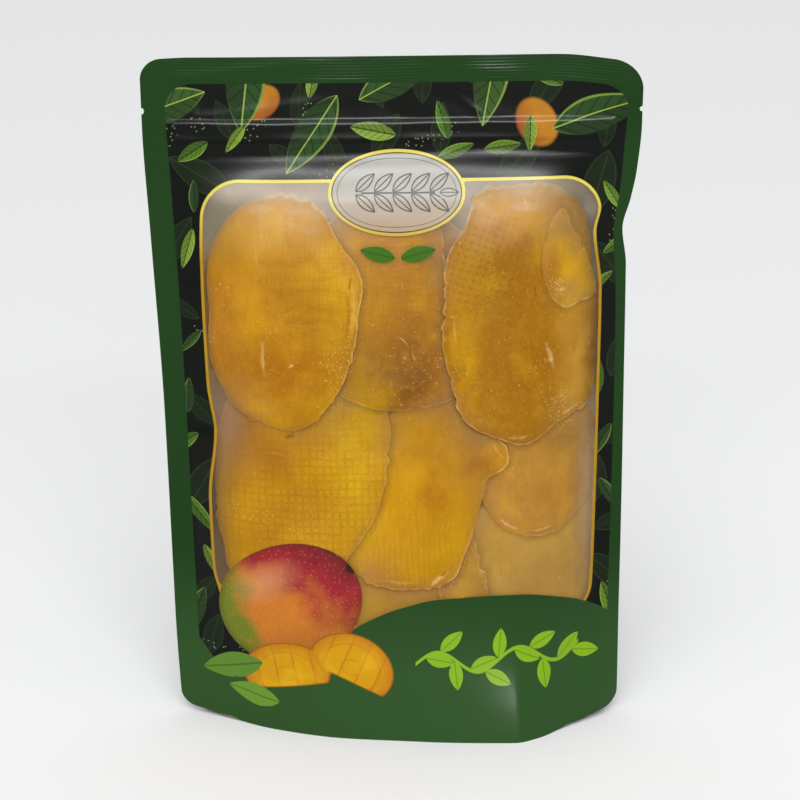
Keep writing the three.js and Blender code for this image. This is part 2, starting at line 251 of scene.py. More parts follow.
def fold_relief(folds, x, z):
    total = np.zeros(np.broadcast(x, z).shape)
    for fold in folds:
        angle = math.radians(fold["angle"])
        dx, dz = x - fold["x"], z - fold["z"]
        lengthwise = (dx * math.cos(angle) + dz * math.sin(angle)) / (fold["length"] / 2)
        across = (dz * math.cos(angle) - dx * math.sin(angle)) / fold["width"]
        total += fold["rise"] * np.exp(-across ** 2 - lengthwise ** 4)
    return total * smooth(from_seal(x, z) / 5.0)


def film_waves(x, z, seed):
    """Slack of the film: slow waves over the belly and short puckers beside the seals."""
    inside = smooth(from_seal(x, z) / 6.0) * smooth(z / 14.0)
    slow = BELLY_WAVE[0] * ripple(x, z, BELLY_WAVE[1], seed) * ramp(z, BELLY_TOP + 4, BELLY_TOP - 12)
    beside = np.exp(-np.maximum(from_seal(x, z), 0.0) / SIDE_SEAL) * ramp(z, BELLY_TOP, BELLY_TOP - 14)
    puckers = PUCKER[0] * ripple(x * 0.25, z, PUCKER[1], seed + 1) * beside
    in_header = ramp(z, 240, 248) * ramp(z, 272, 264)
    header = HEADER_WAVE[0] * ripple(x, z * 1.6, HEADER_WAVE[1], seed + 2) * in_header
    return (slow + puckers + header) * inside


def crimp_relief(x, z):
    """Crimp lines of the top seal, pressed more deeply in some places."""
    seal_foot = POUCH_HEIGHT - TOP_SEAL
    in_seal = ramp(z, seal_foot, seal_foot + CRIMP_FADE) * ramp(z, POUCH_HEIGHT, POUCH_HEIGHT - CRIMP_FADE)
    pressed = mix(0.15, 1.0, smooth(0.5 + 0.6 * ripple(x, z, 38.0, seed=14)))
    line = np.sin(2 * math.pi * z / CRIMP_PITCH + 1.2 * ripple(x, 0 * z, 60.0, seed=15))
    return CRIMP_DEPTH * in_seal * pressed * (0.5 + 0.5 * line)


# The slices, from the hindmost to the foremost. Each rim lists the corners of its outline on the
# film, in x and z. rest is the height of its back over the mean film where nothing lifts it, with
# its slopes to the right and upwards. flesh is its colour, and shade that of its darker side.
# body is the share of the usual thickness, for a thin piece. weave is the print of the tray's mesh:
# its pitch both ways, how far it leans, how deep its threads and their crossings are pressed in,
# and the place and reach of that print.
AMBER, GOLD, BROWN = "#94640E", "#B08414", "#7C4C10"
OVAL_CORNERS = 10


def oval_rim(oval):
    """The rim of a plain oval slice."""
    lean = math.radians(oval["lean"])
    rim = []
    for k in range(OVAL_CORNERS):
        angle = 2 * math.pi * k / OVAL_CORNERS
        dx, dz = oval["width"] / 2 * math.cos(angle), oval["height"] / 2 * math.sin(angle)
        rim.append((oval["x"] + dx * math.cos(lean) - dz * math.sin(lean),
                    oval["z"] + dx * math.sin(lean) + dz * math.cos(lean)))
    return rim


BACK_SLICES = table("name x z width height lean rest flesh shade", [
    ("back_upper_left", -50, 172, 58, 84, 6, -7.6, AMBER, BROWN),
    ("back_upper_right", 52, 176, 58, 86, -4, -7.6, AMBER, BROWN),
    ("back_upper_middle", 4, 176, 66, 82, -12, -7.0, AMBER, BROWN),
    ("back_lower_left", -48, 96, 58, 88, 4, -7.6, AMBER, BROWN),
    ("back_lower_right", 50, 98, 60, 92, -6, -8.0, GOLD, AMBER),
    ("back_middle", -2, 112, 70, 74, 20, -7.6, AMBER, BROWN),
])
SLICES = [{"name": oval["name"], "rest": oval["rest"], "slope": (0, 0), "flesh": oval["flesh"],
           "shade": oval["shade"], "rim": oval_rim(oval)} for oval in BACK_SLICES]
SLICES += [
    {"name": "left_foot", "rest": -5.4, "slope": (0, 0), "flesh": "#B88E1C", "shade": "#AE8222",
     "rim": [(-36, 58), (-29, 72), (-14, 79), (2, 76), (18, 72), (29, 68.5), (35, 57.5), (32, 44),
             (20, 34), (-8, 31), (-30, 42)]},
    {"name": "right_lower", "rest": -4.4, "slope": (-0.01, 0), "flesh": "#B08A3A",
     "shade": "#AC8640",
     "rim": [(31.5, 66), (28.6, 80), (31, 93), (47, 99), (70, 97), (81, 94), (83.4, 75), (82.6, 53),
             (78, 39), (56, 36), (38, 42), (33.6, 54)]},
    {"name": "middle_foot", "rest": -4.9, "slope": (0, 0), "flesh": "#A27A28", "shade": "#9A7226",
     "rim": [(30.2, 84.5), (34.3, 74.6), (37.5, 60), (39.4, 50), (35, 43), (22, 45), (17, 57),
             (20, 70), (25, 80)]},
    {"name": "right_middle", "rest": -3.8, "slope": (-0.02, -0.01), "flesh": "#A67C2C",
     "shade": "#AA7A34",
     "rim": [(35.8, 105), (35.1, 99.6), (37.5, 94), (43.7, 86.9), (52.8, 82.3), (61.6, 82),
             (68.4, 84), (76, 89.4), (81, 96), (83.6, 106), (83.6, 122), (77, 136), (55, 140),
             (39, 130)]},
    {"name": "middle_lower", "rest": -3.9, "slope": (-0.005, -0.045), "flesh": "#B68404",
     "shade": "#B68808",
     "weave": {"pitch": (2.3, 0), "lean": 2, "threads": 0.45, "pits": 0.0, "middle": (6, 74),
               "reach": 20},
     "rim": [(1.3, 137), (9.4, 141), (18.3, 143.4), (25, 141), (32.4, 133), (40.6, 126),
             (44.8, 121.4), (45.6, 116.6), (44.4, 112), (40.6, 109.4), (37, 105.6), (35.3, 100),
             (33, 90.4), (28.9, 79), (26, 70), (20.4, 64.8), (12, 62.4), (1.3, 62), (-8.9, 64.6),
             (-17, 69.4), (-21.5, 76), (-24, 93), (-14, 118)]},
    {"name": "left_lower", "rest": -4.2, "slope": (0.012, -0.055), "flesh": "#B8860A",
     "shade": "#B07E16",
     "weave": {"pitch": (3.0, 3.1), "lean": 1, "threads": 0.62, "pits": 0.0, "middle": (-34, 98),
               "reach": 54},
     "rim": [(-2.5, 136.6), (-2.2, 125.3), (-3.2, 112.9), (-5.6, 100.5), (-12.3, 86), (-21, 74.3),
             (-29, 64.5), (-40, 58.2), (-56, 56.5), (-66.4, 62.5), (-71.9, 75.8), (-74, 89.6),
             (-74.4, 104.6), (-73.6, 117.6), (-71.6, 131.5), (-66, 141), (-53.6, 149), (-38, 152),
             (-20, 149.5), (-7.4, 143.4)]},
    {"name": "middle_upper", "rest": -4.6, "slope": (0, 0), "flesh": "#A97618", "shade": "#93601A",
     "weave": {"pitch": (2.2, 2.2), "lean": 4, "threads": 0.25, "pits": 0.3, "middle": (6, 188),
               "reach": 26},
     "rim": [(-3.9, 136.9), (-14, 139), (-22, 144), (-28, 152), (-31, 172), (-29, 200), (-21, 219),
             (-3, 226.5), (10, 223.5), (16.5, 214), (20.4, 203), (21.6, 190), (24.6, 176),
             (27.0, 160), (27.4, 148), (24.0, 141.4), (13, 137.6)]},
    {"name": "left_upper", "rest": -1.7, "slope": (0, 0), "flesh": "#BA8618", "shade": "#A26C10",
     "weave": {"pitch": (1.9, 1.9), "lean": -3, "threads": 0.34, "pits": 0.0, "middle": (-28, 196),
               "reach": 26},
     "rim": [(-42.1, 224.8), (-52, 222.2), (-62.6, 217.6), (-69.4, 210), (-73.4, 201), (-75, 188),
             (-75.2, 166), (-73.8, 151), (-70, 142.8), (-63.7, 136.4), (-53.9, 130.6),
             (-42.5, 128.4), (-33.5, 132), (-25.8, 139.6), (-20.3, 148.4), (-16.6, 161),
             (-13.4, 176), (-12.4, 186), (-15.4, 196), (-22.8, 208.8), (-30.8, 219)]},
    {"name": "right_upper", "rest": -1.7, "slope": (0, 0), "flesh": "#A0740F", "shade": "#96670E",
     "weave": {"pitch": (2.9, 2.9), "lean": -20, "threads": 0.0, "pits": 0.85, "middle": (35, 194),
               "reach": 24},
     "rim": [(53.9, 226.8), (43, 226.6), (34.6, 223.6), (29.4, 213), (23.4, 203.2), (20.9, 191),
             (19.6, 176), (20.2, 160), (22.6, 147.4), (27.1, 134.4), (33.6, 127.9), (42.5, 123.7),
             (51.6, 120.9), (59.4, 123.7), (65.7, 128.3), (73.7, 131.4), (79.6, 135.4), (82.2, 148),
             (83, 166), (82.6, 184.2), (80.6, 196), (79, 206), (77.5, 216), (72, 222), (64, 225.6)]},
    {"name": "right_edge", "rest": -0.6, "slope": (-0.02, 0), "flesh": "#C49A1E",
     "shade": "#B48A20", "body": 0.4,
     "rim": [(68.6, 216.6), (72.4, 209.6), (76.4, 201), (80.6, 192), (82, 184), (80.6, 179.6),
             (75, 178), (69.6, 176.6), (63.6, 181.6), (60, 191), (60.6, 203), (64, 212.6)]},
]
SLICE_THICKNESS = 2.8
RIM_THICKNESS = 0.45
EDGE_RISE, EDGE_WIDTH = 0.5, 3.0
RIM_WIDTH = 12.0
SLICE_GAP = 0.12
FILM_CLEARANCE = 0.28
BACK_CLEARANCE = 0.6
OUTLINE_POINTS = 200
STEPS_PER_CORNER = 24

# Wavelength and reach of a rim's unevenness, and how evenly it goes round the rim
RIM_WAVES = ((24, 0.45, 1.0), (9, 0.5, 0.0), (4, 0.32, 0.0))

# The heap settles and the film drapes over it in this many rounds. NOTHING is a height below all
SETTLE_PULL, SETTLE_ROUNDS = 0.006, 130
DRAPE_ROUNDS, DRAPE_EASE, WINDOW_SAG = 260, 0.992, 0.005
NOTHING = -60.0

# Height and length of a slice's waves
SLICE_WAVE = (0.5, 34.0)

# The grid on which slices and film settle over each other
GRID_STEP = 1.0
grid_x = np.arange(-88.0, 90.0 + GRID_STEP, GRID_STEP)
grid_z = np.arange(6.0, 244.0 + GRID_STEP, GRID_STEP)
GRID_X, GRID_Z = np.meshgrid(grid_x, grid_z)


def closed_curve(corners, count):
    """Evenly spaced points on a smooth closed curve through the corners."""
    p = np.array(corners, float)
    t = np.linspace(0, 1, STEPS_PER_CORNER, endpoint=False)[:, None]
    before, start, end, after = np.roll(p, 1, 0), p, np.roll(p, -1, 0), np.roll(p, -2, 0)
    parts = []
    for a, b, c, d in zip(before, start, end, after):
        parts.append(0.5 * (2 * b + (c - a) * t + (2 * a - 5 * b + 4 * c - d) * t ** 2
                            + (3 * b - a - 3 * c + d) * t ** 3))
    curve = np.vstack(parts)
    loop = np.vstack([curve, curve[:1]])
    length = np.concatenate([[0], np.cumsum(np.linalg.norm(np.diff(loop, axis=0), axis=1))])
    at = np.linspace(0, length[-1], count, endpoint=False)
    return np.stack([np.interp(at, length, loop[:, 0]), np.interp(at, length, loop[:, 1])], 1), length[-1]


def ragged(curve, length, seed):
    """Uneven, slightly torn rim of a dried slice."""
    draw = np.random.default_rng(seed)
    ahead, behind = np.roll(curve, -1, 0), np.roll(curve, 1, 0)
    tangent = ahead - behind
    normal = np.stack([tangent[:, 1], -tangent[:, 0]], 1) / np.linalg.norm(tangent, axis=1)[:, None]
    at = np.arange(len(curve)) / len(curve)
    offset = np.zeros(len(curve))
    frayed = smooth(0.4 + 0.9 * ripple(curve[:, 0], curve[:, 1], 30.0, seed=seed + 300))
    for wavelength, reach, evenly in RIM_WAVES:
        for _ in range(3):
            turns = max(round(length / wavelength * draw.uniform(0.7, 1.4)), 1)
            wave = np.sin(2 * math.pi * (turns * at + draw.uniform()))
            offset += reach / 1.7 * wave * np.maximum(frayed, evenly)
    return curve + normal * offset[:, None]


def outline_distance(curve, x, z):
    """Distance inside a closed outline, negative outside it."""
    nearest = np.full(x.shape, 1e9)
    inside = np.zeros(x.shape, bool)
    for a, b in zip(curve, np.roll(curve, -1, 0)):
        ex, ez = b - a
        dx, dz = x - a[0], z - a[1]
        t = np.clip((dx * ex + dz * ez) / (ex * ex + ez * ez), 0, 1)
        nearest = np.minimum(nearest, (dx - t * ex) ** 2 + (dz - t * ez) ** 2)
        crosses = (a[1] > z) != (b[1] > z)
        side = a[0] + (z - a[1]) * ex / (ez if ez else 1e-9)
        inside ^= crosses & (x < side)
    return np.where(inside, 1.0, -1.0) * np.sqrt(nearest)


def neighbours_mean(values):
    padded = np.pad(values, 1, mode="edge")
    return (padded[1:-1, :-2] + padded[1:-1, 2:] + padded[:-2, 1:-1] + padded[2:, 1:-1]) / 4


def settle(rest, support):
    """A soft sheet near its rest height, lifted where something supports it."""
    height = np.maximum(rest, support)
    for _ in range(SETTLE_ROUNDS):
        height = np.maximum(support, mix(neighbours_mean(height), rest, SETTLE_PULL))
    return height


def slice_thickness(piece, depth_in):
    edge = EDGE_RISE * smooth(depth_in / EDGE_WIDTH) ** 0.7
    belly = (SLICE_THICKNESS - RIM_THICKNESS - EDGE_RISE) * smooth(depth_in / RIM_WIDTH)
    return (RIM_THICKNESS + edge + belly) * piece.get("body", 1.0)


def settle_slices():
    """Lays each slice over the ones behind it, and gives the top of the whole heap."""
    top = np.full(GRID_X.shape, NOTHING)
    for order, piece in enumerate(SLICES):
        curve, length = closed_curve(piece["rim"], OUTLINE_POINTS)
        piece["order"] = order
        piece["curve"] = ragged(curve, length, 40 + order)
        piece["middle"] = piece["curve"].mean(0)
        depth_in = outline_distance(piece["curve"], GRID_X, GRID_Z)
        dx, dz = GRID_X - piece["middle"][0], GRID_Z - piece["middle"][1]
        rest = piece["rest"] + piece["slope"][0] * dx + piece["slope"][1] * dz
        rest = rest + SLICE_WAVE[0] * ripple(GRID_X, GRID_Z, SLICE_WAVE[1], seed=60 + order)
        support = np.where(depth_in > -1.5 * GRID_STEP, top + SLICE_GAP, NOTHING)
        piece["back"] = settle(rest, support)
        piece["depth_in"] = depth_in
        face = piece["back"] + slice_thickness(piece, depth_in)
        top = np.where(depth_in > 0, np.maximum(top, face), top)
    return top


def drape_film(top):
    """The front film, taut over the heap and held at its seals."""
    inside = smooth(from_seal(GRID_X, GRID_Z) / 5.0) * ramp(GRID_Z, BELLY_TOP + 2, BELLY_TOP - 4)
    support = np.where(top > NOTHING / 2, top + FILM_CLEARANCE, NOTHING)
    sag = WINDOW_SAG * smooth(-window_edge(GRID_X, GRID_Z) / 6.0)
    height = np.maximum(support, 0.0)
    for _ in range(DRAPE_ROUNDS):
        taut = neighbours_mean(height) * DRAPE_EASE - sag
        height = np.maximum(support, taut * np.minimum(inside * 4.0, 1.0))
    return height


def sample(values, x, z):
    """Values of the settling grid between its points."""
    c = np.clip((x - grid_x[0]) / GRID_STEP, 0, len(grid_x) - 1.001)
    r = np.clip((z - grid_z[0]) / GRID_STEP, 0, len(grid_z) - 1.001)
    c0, r0 = c.astype(int), r.astype(int)
    c, r = c - c0, r - r0
    low = mix(values[r0, c0], values[r0, c0 + 1], c)
    high = mix(values[r0 + 1, c0], values[r0 + 1, c0 + 1], c)
    return mix(low, high, r)


def front_point(x, z, height):
    """A point at this height over the mean front film."""
    y = sway(x, z) - np.maximum(front_depth(x, z) + height, FILM_GAP)
    return np.stack([x, y, z + lift(x, z)], -1)


def back_point(x, z, height):
    """A point at this height over the mean back film."""
    y = sway(x, z) + np.maximum(back_depth(x, z) + height, FILM_GAP)
    return np.stack([x, y, z + lift(x, z)], -1)


def slice_point(x, z, height):
    """A point of a slice at this height over the mean front film, kept clear of the back film."""
    y = np.minimum(-(front_depth(x, z) + height), back_depth(x, z) - BACK_CLEARANCE) + sway(x, z)
    return np.stack([x, y, z + lift(x, z)], -1)


# The print: fields of flat colour, each an edge distance on the flat sheet, negative inside

WINDOW_LEFT = [[44, -71], [55, -72.5], [66, -75.2], [97, -75.9], [126, -72.8], [146, -75.4],
               [200, -76.6], [230, -75.2]]
WINDOW_RIGHT = [[44, 79.4], [58, 80.6], [92, 81.6], [135, 82.6], [182, 83.4], [206, 81.0],
                [217, 83.0], [230, 82.6]]
WINDOW_LOW, WINDOW_HIGH, WINDOW_CORNER = 42.0, 228.3, 14.0
LINE_WIDTH = 1.2
INK_BLEED = 0.12
PANEL_LEFT = [[10, -82.6], [58, -84.0], [171, -86.5], [257, -90.4]]
PANEL_RIGHT = [[10, 87.6], [56, 88.6], [177, 90.4], [206, 89.2], [222, 91.5], [255, 94.3]]
PANEL_LOW, PANEL_HIGH, PANEL_CORNER = 5.0, 267.4, 10.5
LABEL = {"x": 1.8, "z": 224.2, "half_width": 27.4, "half_height": 16.8}
BAND_TOP = [[-100, 36], [-84, 33.5], [-77, 25.5], [-68, 22], [-52, 26.5], [-30, 39], [-11, 50.1],
            [1.2, 55], [17.6, 58.5], [34.1, 59], [50.7, 58.1], [67.7, 53.7], [85.4, 45], [100, 37]]

# The picture on the lower left: one whole fruit lying on its side, and two cut pieces in front
FRUIT = {"x": -42.5, "z": 56.0, "half_length": 31.0, "half_height": 25.5, "angle": 28}
CUT_PIECES = table("x z half_length half_height angle", [
    (-19.0, 30.0, 18.0, 14.0, -24),
    (-46.0, 25.0, 18.5, 13.5, 12),
])


def rounded_edge(x, z, left, right, low, high, corner):
    over_x = np.abs(x - (left + right) / 2) - (right - left) / 2 + corner
    over_z = np.abs(z - (low + high) / 2) - (high - low) / 2 + corner
    outside = np.hypot(np.maximum(over_x, 0), np.maximum(over_z, 0))
    return outside + np.minimum(np.maximum(over_x, over_z), 0) - corner


def window_edge(x, z):
    left, right = along(WINDOW_LEFT, z), along(WINDOW_RIGHT, z)
    return rounded_edge(x, z, left, right, WINDOW_LOW, WINDOW_HIGH, WINDOW_CORNER)


def panel_edge(x, z):
    left, right = along(PANEL_LEFT, z), along(PANEL_RIGHT, z)
    return rounded_edge(x, z, left, right, PANEL_LOW, PANEL_HIGH, PANEL_CORNER)


def label_edge(x, z):
    dx, dz = x - LABEL["x"], z - LABEL["z"]
    reach = np.hypot(dx / LABEL["half_width"], dz / LABEL["half_height"])
    return (reach - 1) * np.hypot(dx, dz) / np.maximum(reach, 0.05)


def band_edge(x, z):
    slope = along(BAND_TOP, x + 0.5) - along(BAND_TOP, x - 0.5)
    return (z - along(BAND_TOP, x)) / np.sqrt(1 + slope ** 2)


BACK_BAND_HEIGHT, BACK_BAND_RISE, BACK_BAND_BEND = 26.0, 5.0, 40.0


def back_band_edge(x, z):
    return z - BACK_BAND_HEIGHT - BACK_BAND_RISE * np.cos(x / BACK_BAND_BEND)


def local(shape, x, z):
    """Coordinates in a shape's own frame, 1 at its ends."""
    angle = math.radians(shape["angle"])
    dx, dz = x - shape["x"], z - shape["z"]
    a = (dx * math.cos(angle) + dz * math.sin(angle)) / shape["half_length"]
    b = (dz * math.cos(angle) - dx * math.sin(angle)) / shape["half_height"]
    return a, b


def fruit_edge(x, z):
    a, b = local(FRUIT, x, z)
    return (np.hypot(a, b) - 1 + 0.06 * a) * FRUIT["half_height"]


def cut_edge(piece, x, z):
    a, b = local(piece, x, z)
    return np.maximum(np.hypot(a, b) - 1, -0.42 - b) * piece["half_height"]


BLADE_BELLY, BLADE_TAPER = 0.85, 0.16


def blade_edge(leaf, x, z):
    """Rough distance from a leaf's outline."""
    a, b = local(leaf, x, z)
    belly = np.clip(1 - a * a, 0, 1) ** BLADE_BELLY * (1 - BLADE_TAPER * a)
    return (np.abs(b) - belly) * leaf["half_height"] + np.maximum(np.abs(a) - 1, 0) * leaf["half_length"]


def clear_edge(x, z):
    """The edge of the clear window, less all that is printed over it."""
    printed = [label_edge(x, z), band_edge(x, z), fruit_edge(x, z)]
    printed += [cut_edge(piece, x, z) for piece in CUT_PIECES]
    printed += [blade_edge(leaf, x, z) for leaf in WINDOW_MARK]
    return np.maximum(window_edge(x, z), -np.minimum.reduce(printed))


# Leaves of the print, each with its own length, width, direction and ink

BRIGHT_INKS = ["#66852A", "#577423", "#728D30", "#46691E"]
DEEP_INKS = ["#2A461C", "#25401B", "#324D1F"]
GHOST_INKS = ["#22351C", "#1E3018"]
LIME = "#789F1C"
LINE_INK = "#35322A"
LEAF_KINDS = {
    "large": {"length": (30, 42), "slim": (0.36, 0.44), "spacing": 0.86, "inks": DEEP_INKS, "rib": 0.0},
    "small": {"length": (14, 20), "slim": (0.3, 0.42), "spacing": 0.8, "inks": BRIGHT_INKS, "rib": 1.0},
    "side": {"length": (13, 24), "slim": (0.26, 0.36), "spacing": 1.16, "inks": BRIGHT_INKS + DEEP_INKS,
             "rib": 1.0},
    "ghost": {"length": (17, 30), "slim": (0.34, 0.46), "spacing": 0.95, "inks": GHOST_INKS, "rib": 1.0},
}


def leaf_shape(x, z, length, width, angle, ink, rib=1.0, layer=1.0):
    """One leaf. Layer 0 lies in the panel's ground, 1 on top of all else, and 2 is drawn in line there."""
    return {"x": x, "z": z, "half_length": length / 2, "half_height": width / 2, "angle": angle,
            "ink": ink, "rib": rib, "layer": layer}


def strew(seed, tries, kind, region, lean, others, keep_off=lambda x, z: False):
    """Leaves of one kind thrown at random over a region, each clear of the ones before it."""
    draw = np.random.default_rng(seed)
    low, high = region
    like = LEAF_KINDS[kind]
    leaves = []
    for _ in range(tries):
        x, z = draw.uniform(low[0], high[0]), draw.uniform(low[1], high[1])
        length = draw.uniform(*like["length"])
        slim = draw.uniform(*like["slim"])
        ink = draw.choice(like["inks"])
        angle = draw.normal(*lean) + (180 if draw.uniform() < 0.5 else 0)
        apart = all(math.hypot(x - other["x"], z - other["z"])
                    > like["spacing"] * (length / 2 + other["half_length"]) for other in others + leaves)
        if apart and not keep_off(x, z):
            leaves.append(leaf_shape(x, z, length, length * slim, angle, ink, like["rib"], 0.0))
    return leaves


def off_dark_panel(x, z):
    """Where the front's leaves don't grow: in the window, on the label and off the dark panel."""
    return window_edge(x, z) < 0 or panel_edge(x, z) > 3 or label_edge(x, z) < 4 or band_edge(x, z) < 2


# Parts of the front and of the back that leaves are thrown on, as their lowest and highest corners
HEADER_REGION = ((-90, 240), (94, 270))
SIDES_REGION = ((-88, 34), (92, 234))
FRONT_REGION = ((-90, 30), (94, 270))
BACK_REGION = ((-86, 44), (88, 264))


def front_leaves():
    large = strew(4, 500, "large", HEADER_REGION, (20, 40), [], off_dark_panel)
    small = strew(12, 500, "small", HEADER_REGION, (70, 60), large, off_dark_panel)
    beside = strew(3, 2500, "side", SIDES_REGION, (90, 34), large + small, off_dark_panel)
    return large + small + beside


def front_ghosts():
    return strew(9, 1500, "ghost", FRONT_REGION, (80, 50), [], off_dark_panel)


def back_leaves():
    large = strew(21, 700, "large", BACK_REGION, (60, 50), [])
    return large + strew(22, 1500, "small", BACK_REGION, (60, 60), large)


def back_ghosts():
    return strew(23, 1500, "ghost", BACK_REGION, (80, 60), [])


VINE_LEFT, VINE_RIGHT, VINE_LEAVES = 8.0, 75.0, 11
VINE_MIDDLE_HEIGHT, VINE_RISE, VINE_WAVES = 32.5, 4.2, 2.0
VINE_HALF_WIDTH, VINE_SLANT = 0.6, 0.8
VINE_LEAF_FROM, VINE_LEAF_PITCH, VINE_LEAF_TURN = 3.0, 6.1, 46
STEM_HALF_LENGTH, STEM_SHIFT, STEM_HALF_WIDTH = 14.5, 0.5, 0.35
SPRIG_PAIRS, SPRIG_FROM, SPRIG_PITCH, SPRIG_TURN, SPRIG_TIP = 5, -17, 7.4, 42, 16.5

# Length and width of the leaves that grow from a stem, and how far from it their middles are
VINE_LEAF, SPRIG_LEAF, TIP_LEAF = (12.0, 5.8), (10.6, 4.6), (8.0, 3.6)
SHOOT_REACH = 0.56


def vine_height(x):
    run = (x - VINE_LEFT) / (VINE_RIGHT - VINE_LEFT)
    return VINE_MIDDLE_HEIGHT + VINE_RISE * np.sin(run * 2 * math.pi * VINE_WAVES)


def shoot(x, z, length, width, angle, ink, layer=1.0):
    """A leaf that grows out of a stem at x and z."""
    turn = math.radians(angle)
    x = x + SHOOT_REACH * length * math.cos(turn)
    z = z + SHOOT_REACH * length * math.sin(turn)
    return leaf_shape(x, z, length, width, angle, ink, layer=layer)


def vine_leaves():
    """Lime leaves, by turns above and below a waving stem."""
    leaves = []
    for k in range(VINE_LEAVES):
        x = VINE_LEFT + VINE_LEAF_FROM + VINE_LEAF_PITCH * k
        slope = float(vine_height(x + 0.5) - vine_height(x - 0.5))
        angle = math.degrees(math.atan(slope)) + (VINE_LEAF_TURN if k % 2 else -VINE_LEAF_TURN)
        leaves.append(shoot(x, float(vine_height(x)), *VINE_LEAF, angle, LIME))
    return leaves


def sprig_leaves():
    """A plain sprig, drawn in line, in the middle of the pale label."""
    leaves = []
    for k in range(SPRIG_PAIRS):
        for side in (1, -1):
            x = LABEL["x"] + SPRIG_FROM + SPRIG_PITCH * k
            leaves.append(shoot(x, LABEL["z"], *SPRIG_LEAF, side * SPRIG_TURN, LINE_INK, 2.0))
    leaves.append(shoot(LABEL["x"] + SPRIG_TIP, LABEL["z"], *TIP_LEAF, 0, LINE_INK, 2.0))
    return leaves


WINDOW_MARK = [leaf_shape(x, 200.4, 15.0, 6.4, angle, "#35600F") for x, angle in ((-6.2, 166), (10.2, 14))]


def picture_leaves():
    """Two fresh leaves beside the cut pieces."""
    return [leaf_shape(-69, 24, 27, 11.5, 196, "#547A28"), leaf_shape(-60, 13.5, 22, 9, 172, "#5F862C")]


HEADER_FRUITS = table("x z half_length half_height angle", [
    (-52, 260.0, 8.5, 6.6, 35),
    (58, 251.0, 10.6, 8.2, -62),
])
# A leaf coordinate far from any leaf, and a distance far from any edge
NOWHERE = (-9.0, 9.0, 0.0)
FAR = 60.0


def leaf_coordinates(leaves, middles, corners):
    """For each face the leaf it may show, in the leaf's own coordinates at the face's corners."""
    best = np.full(len(middles), 1.3)
    coordinates = np.tile(np.array(NOWHERE), (len(middles), 3, 1))
    inks = np.zeros((len(middles), 3, 4))
    for leaf in leaves:
        a, b = local(leaf, middles[:, 0], middles[:, 1])
        reach = np.maximum(np.abs(a), np.abs(b)) * (0.5 if leaf["layer"] else 1.0)
        chosen = reach < best
        best[chosen] = reach[chosen]
        a, b = local(leaf, corners[chosen, :, 0], corners[chosen, :, 1])
        coordinates[chosen] = np.stack([a, b, np.full(a.shape, leaf["layer"])], -1)
        inks[chosen] = srgb(leaf["ink"])[:3] + (leaf["rib"],)
    return coordinates, inks


# Meshes


def srgb(text):
    """An sRGB hex colour as linear red, green, blue and alpha."""
    parts = [int(text[i:i + 2], 16) / 255 for i in (1, 3, 5)]
    return tuple(p / 12.92 if p <= 0.04045 else ((p + 0.055) / 1.055) ** 2.4 for p in parts) + (1.0,)


def put_in_scene(name, data):
    made = bpy.data.objects.new(name, data)
    bpy.context.scene.collection.objects.link(made)
    return made


def make_piece(name, points, faces, materials):
    """A smooth piece from its points in millimetres and a list of its faces' point numbers."""
    mesh = bpy.data.meshes.new(name)
    mesh.from_pydata((np.asarray(points) * MM).tolist(), [], faces)
    mesh.polygons.foreach_set("use_smooth", [True] * len(mesh.polygons))
    for material in materials:
        mesh.materials.append(material)
    mesh.update()
    return put_in_scene(name, mesh)


def give(piece, name, values, domain="POINT"):
    """Stores one value, vector or colour for each point or face corner."""
    values = np.asarray(values, float)
    parts = values.shape[1] if values.ndim == 2 else 1
    kind, field = {1: ("FLOAT", "value"), 3: ("FLOAT_VECTOR", "vector"), 4: ("FLOAT_COLOR", "color")}[parts]
    layer = piece.data.attributes.new(name, kind, domain)
    layer.data.foreach_set(field, values.ravel())


def give_sheet_map(piece, flat):
    """The flat sheet as a texture map, one unit for the pouch's height."""
    layer = piece.data.uv_layers.new(name="sheet")
    loops = np.empty(len(piece.data.loops), int)
    piece.data.loops.foreach_get("vertex_index", loops)
    scaled = np.stack([flat[:, 0] / POUCH_HEIGHT + 0.5, flat[:, 1] / POUCH_HEIGHT], 1)
    layer.data.foreach_set("uv", scaled[loops].ravel())


def thicken(piece):
    """Gives a film its thickness inwards, with its second material on the inner face and crisp cut edges."""
    mesh = piece.data
    edges = np.empty(len(mesh.loops), int)
    mesh.loops.foreach_get("edge_index", edges)
    cut = np.bincount(edges, minlength=len(mesh.edges)) == 1
    mesh.attributes.new("sharp_edge", "BOOLEAN", "EDGE").data.foreach_set("value", cut)
    shell = piece.modifiers.new("thickness", "SOLIDIFY")
    shell.thickness = FILM_THICKNESS * MM
    shell.offset = -1.0
    shell.use_even_offset = False
    shell.material_offset = 1
    shell.material_offset_rim = 0


SHEET_COLUMNS = 180
SHEET_ROW = 1.15
LEAST_ROW = 0.1


def grid_triangles(columns, rows):
    """Two triangles for each field of a grid of points, row by row."""
    c, r = np.meshgrid(np.arange(columns), np.arange(rows))
    a = (r * (columns + 1) + c).ravel()
    b, d = a + 1, a + columns + 1
    return np.vstack([np.stack([a, b, d + 1], 1), np.stack([a, d + 1, d], 1)])


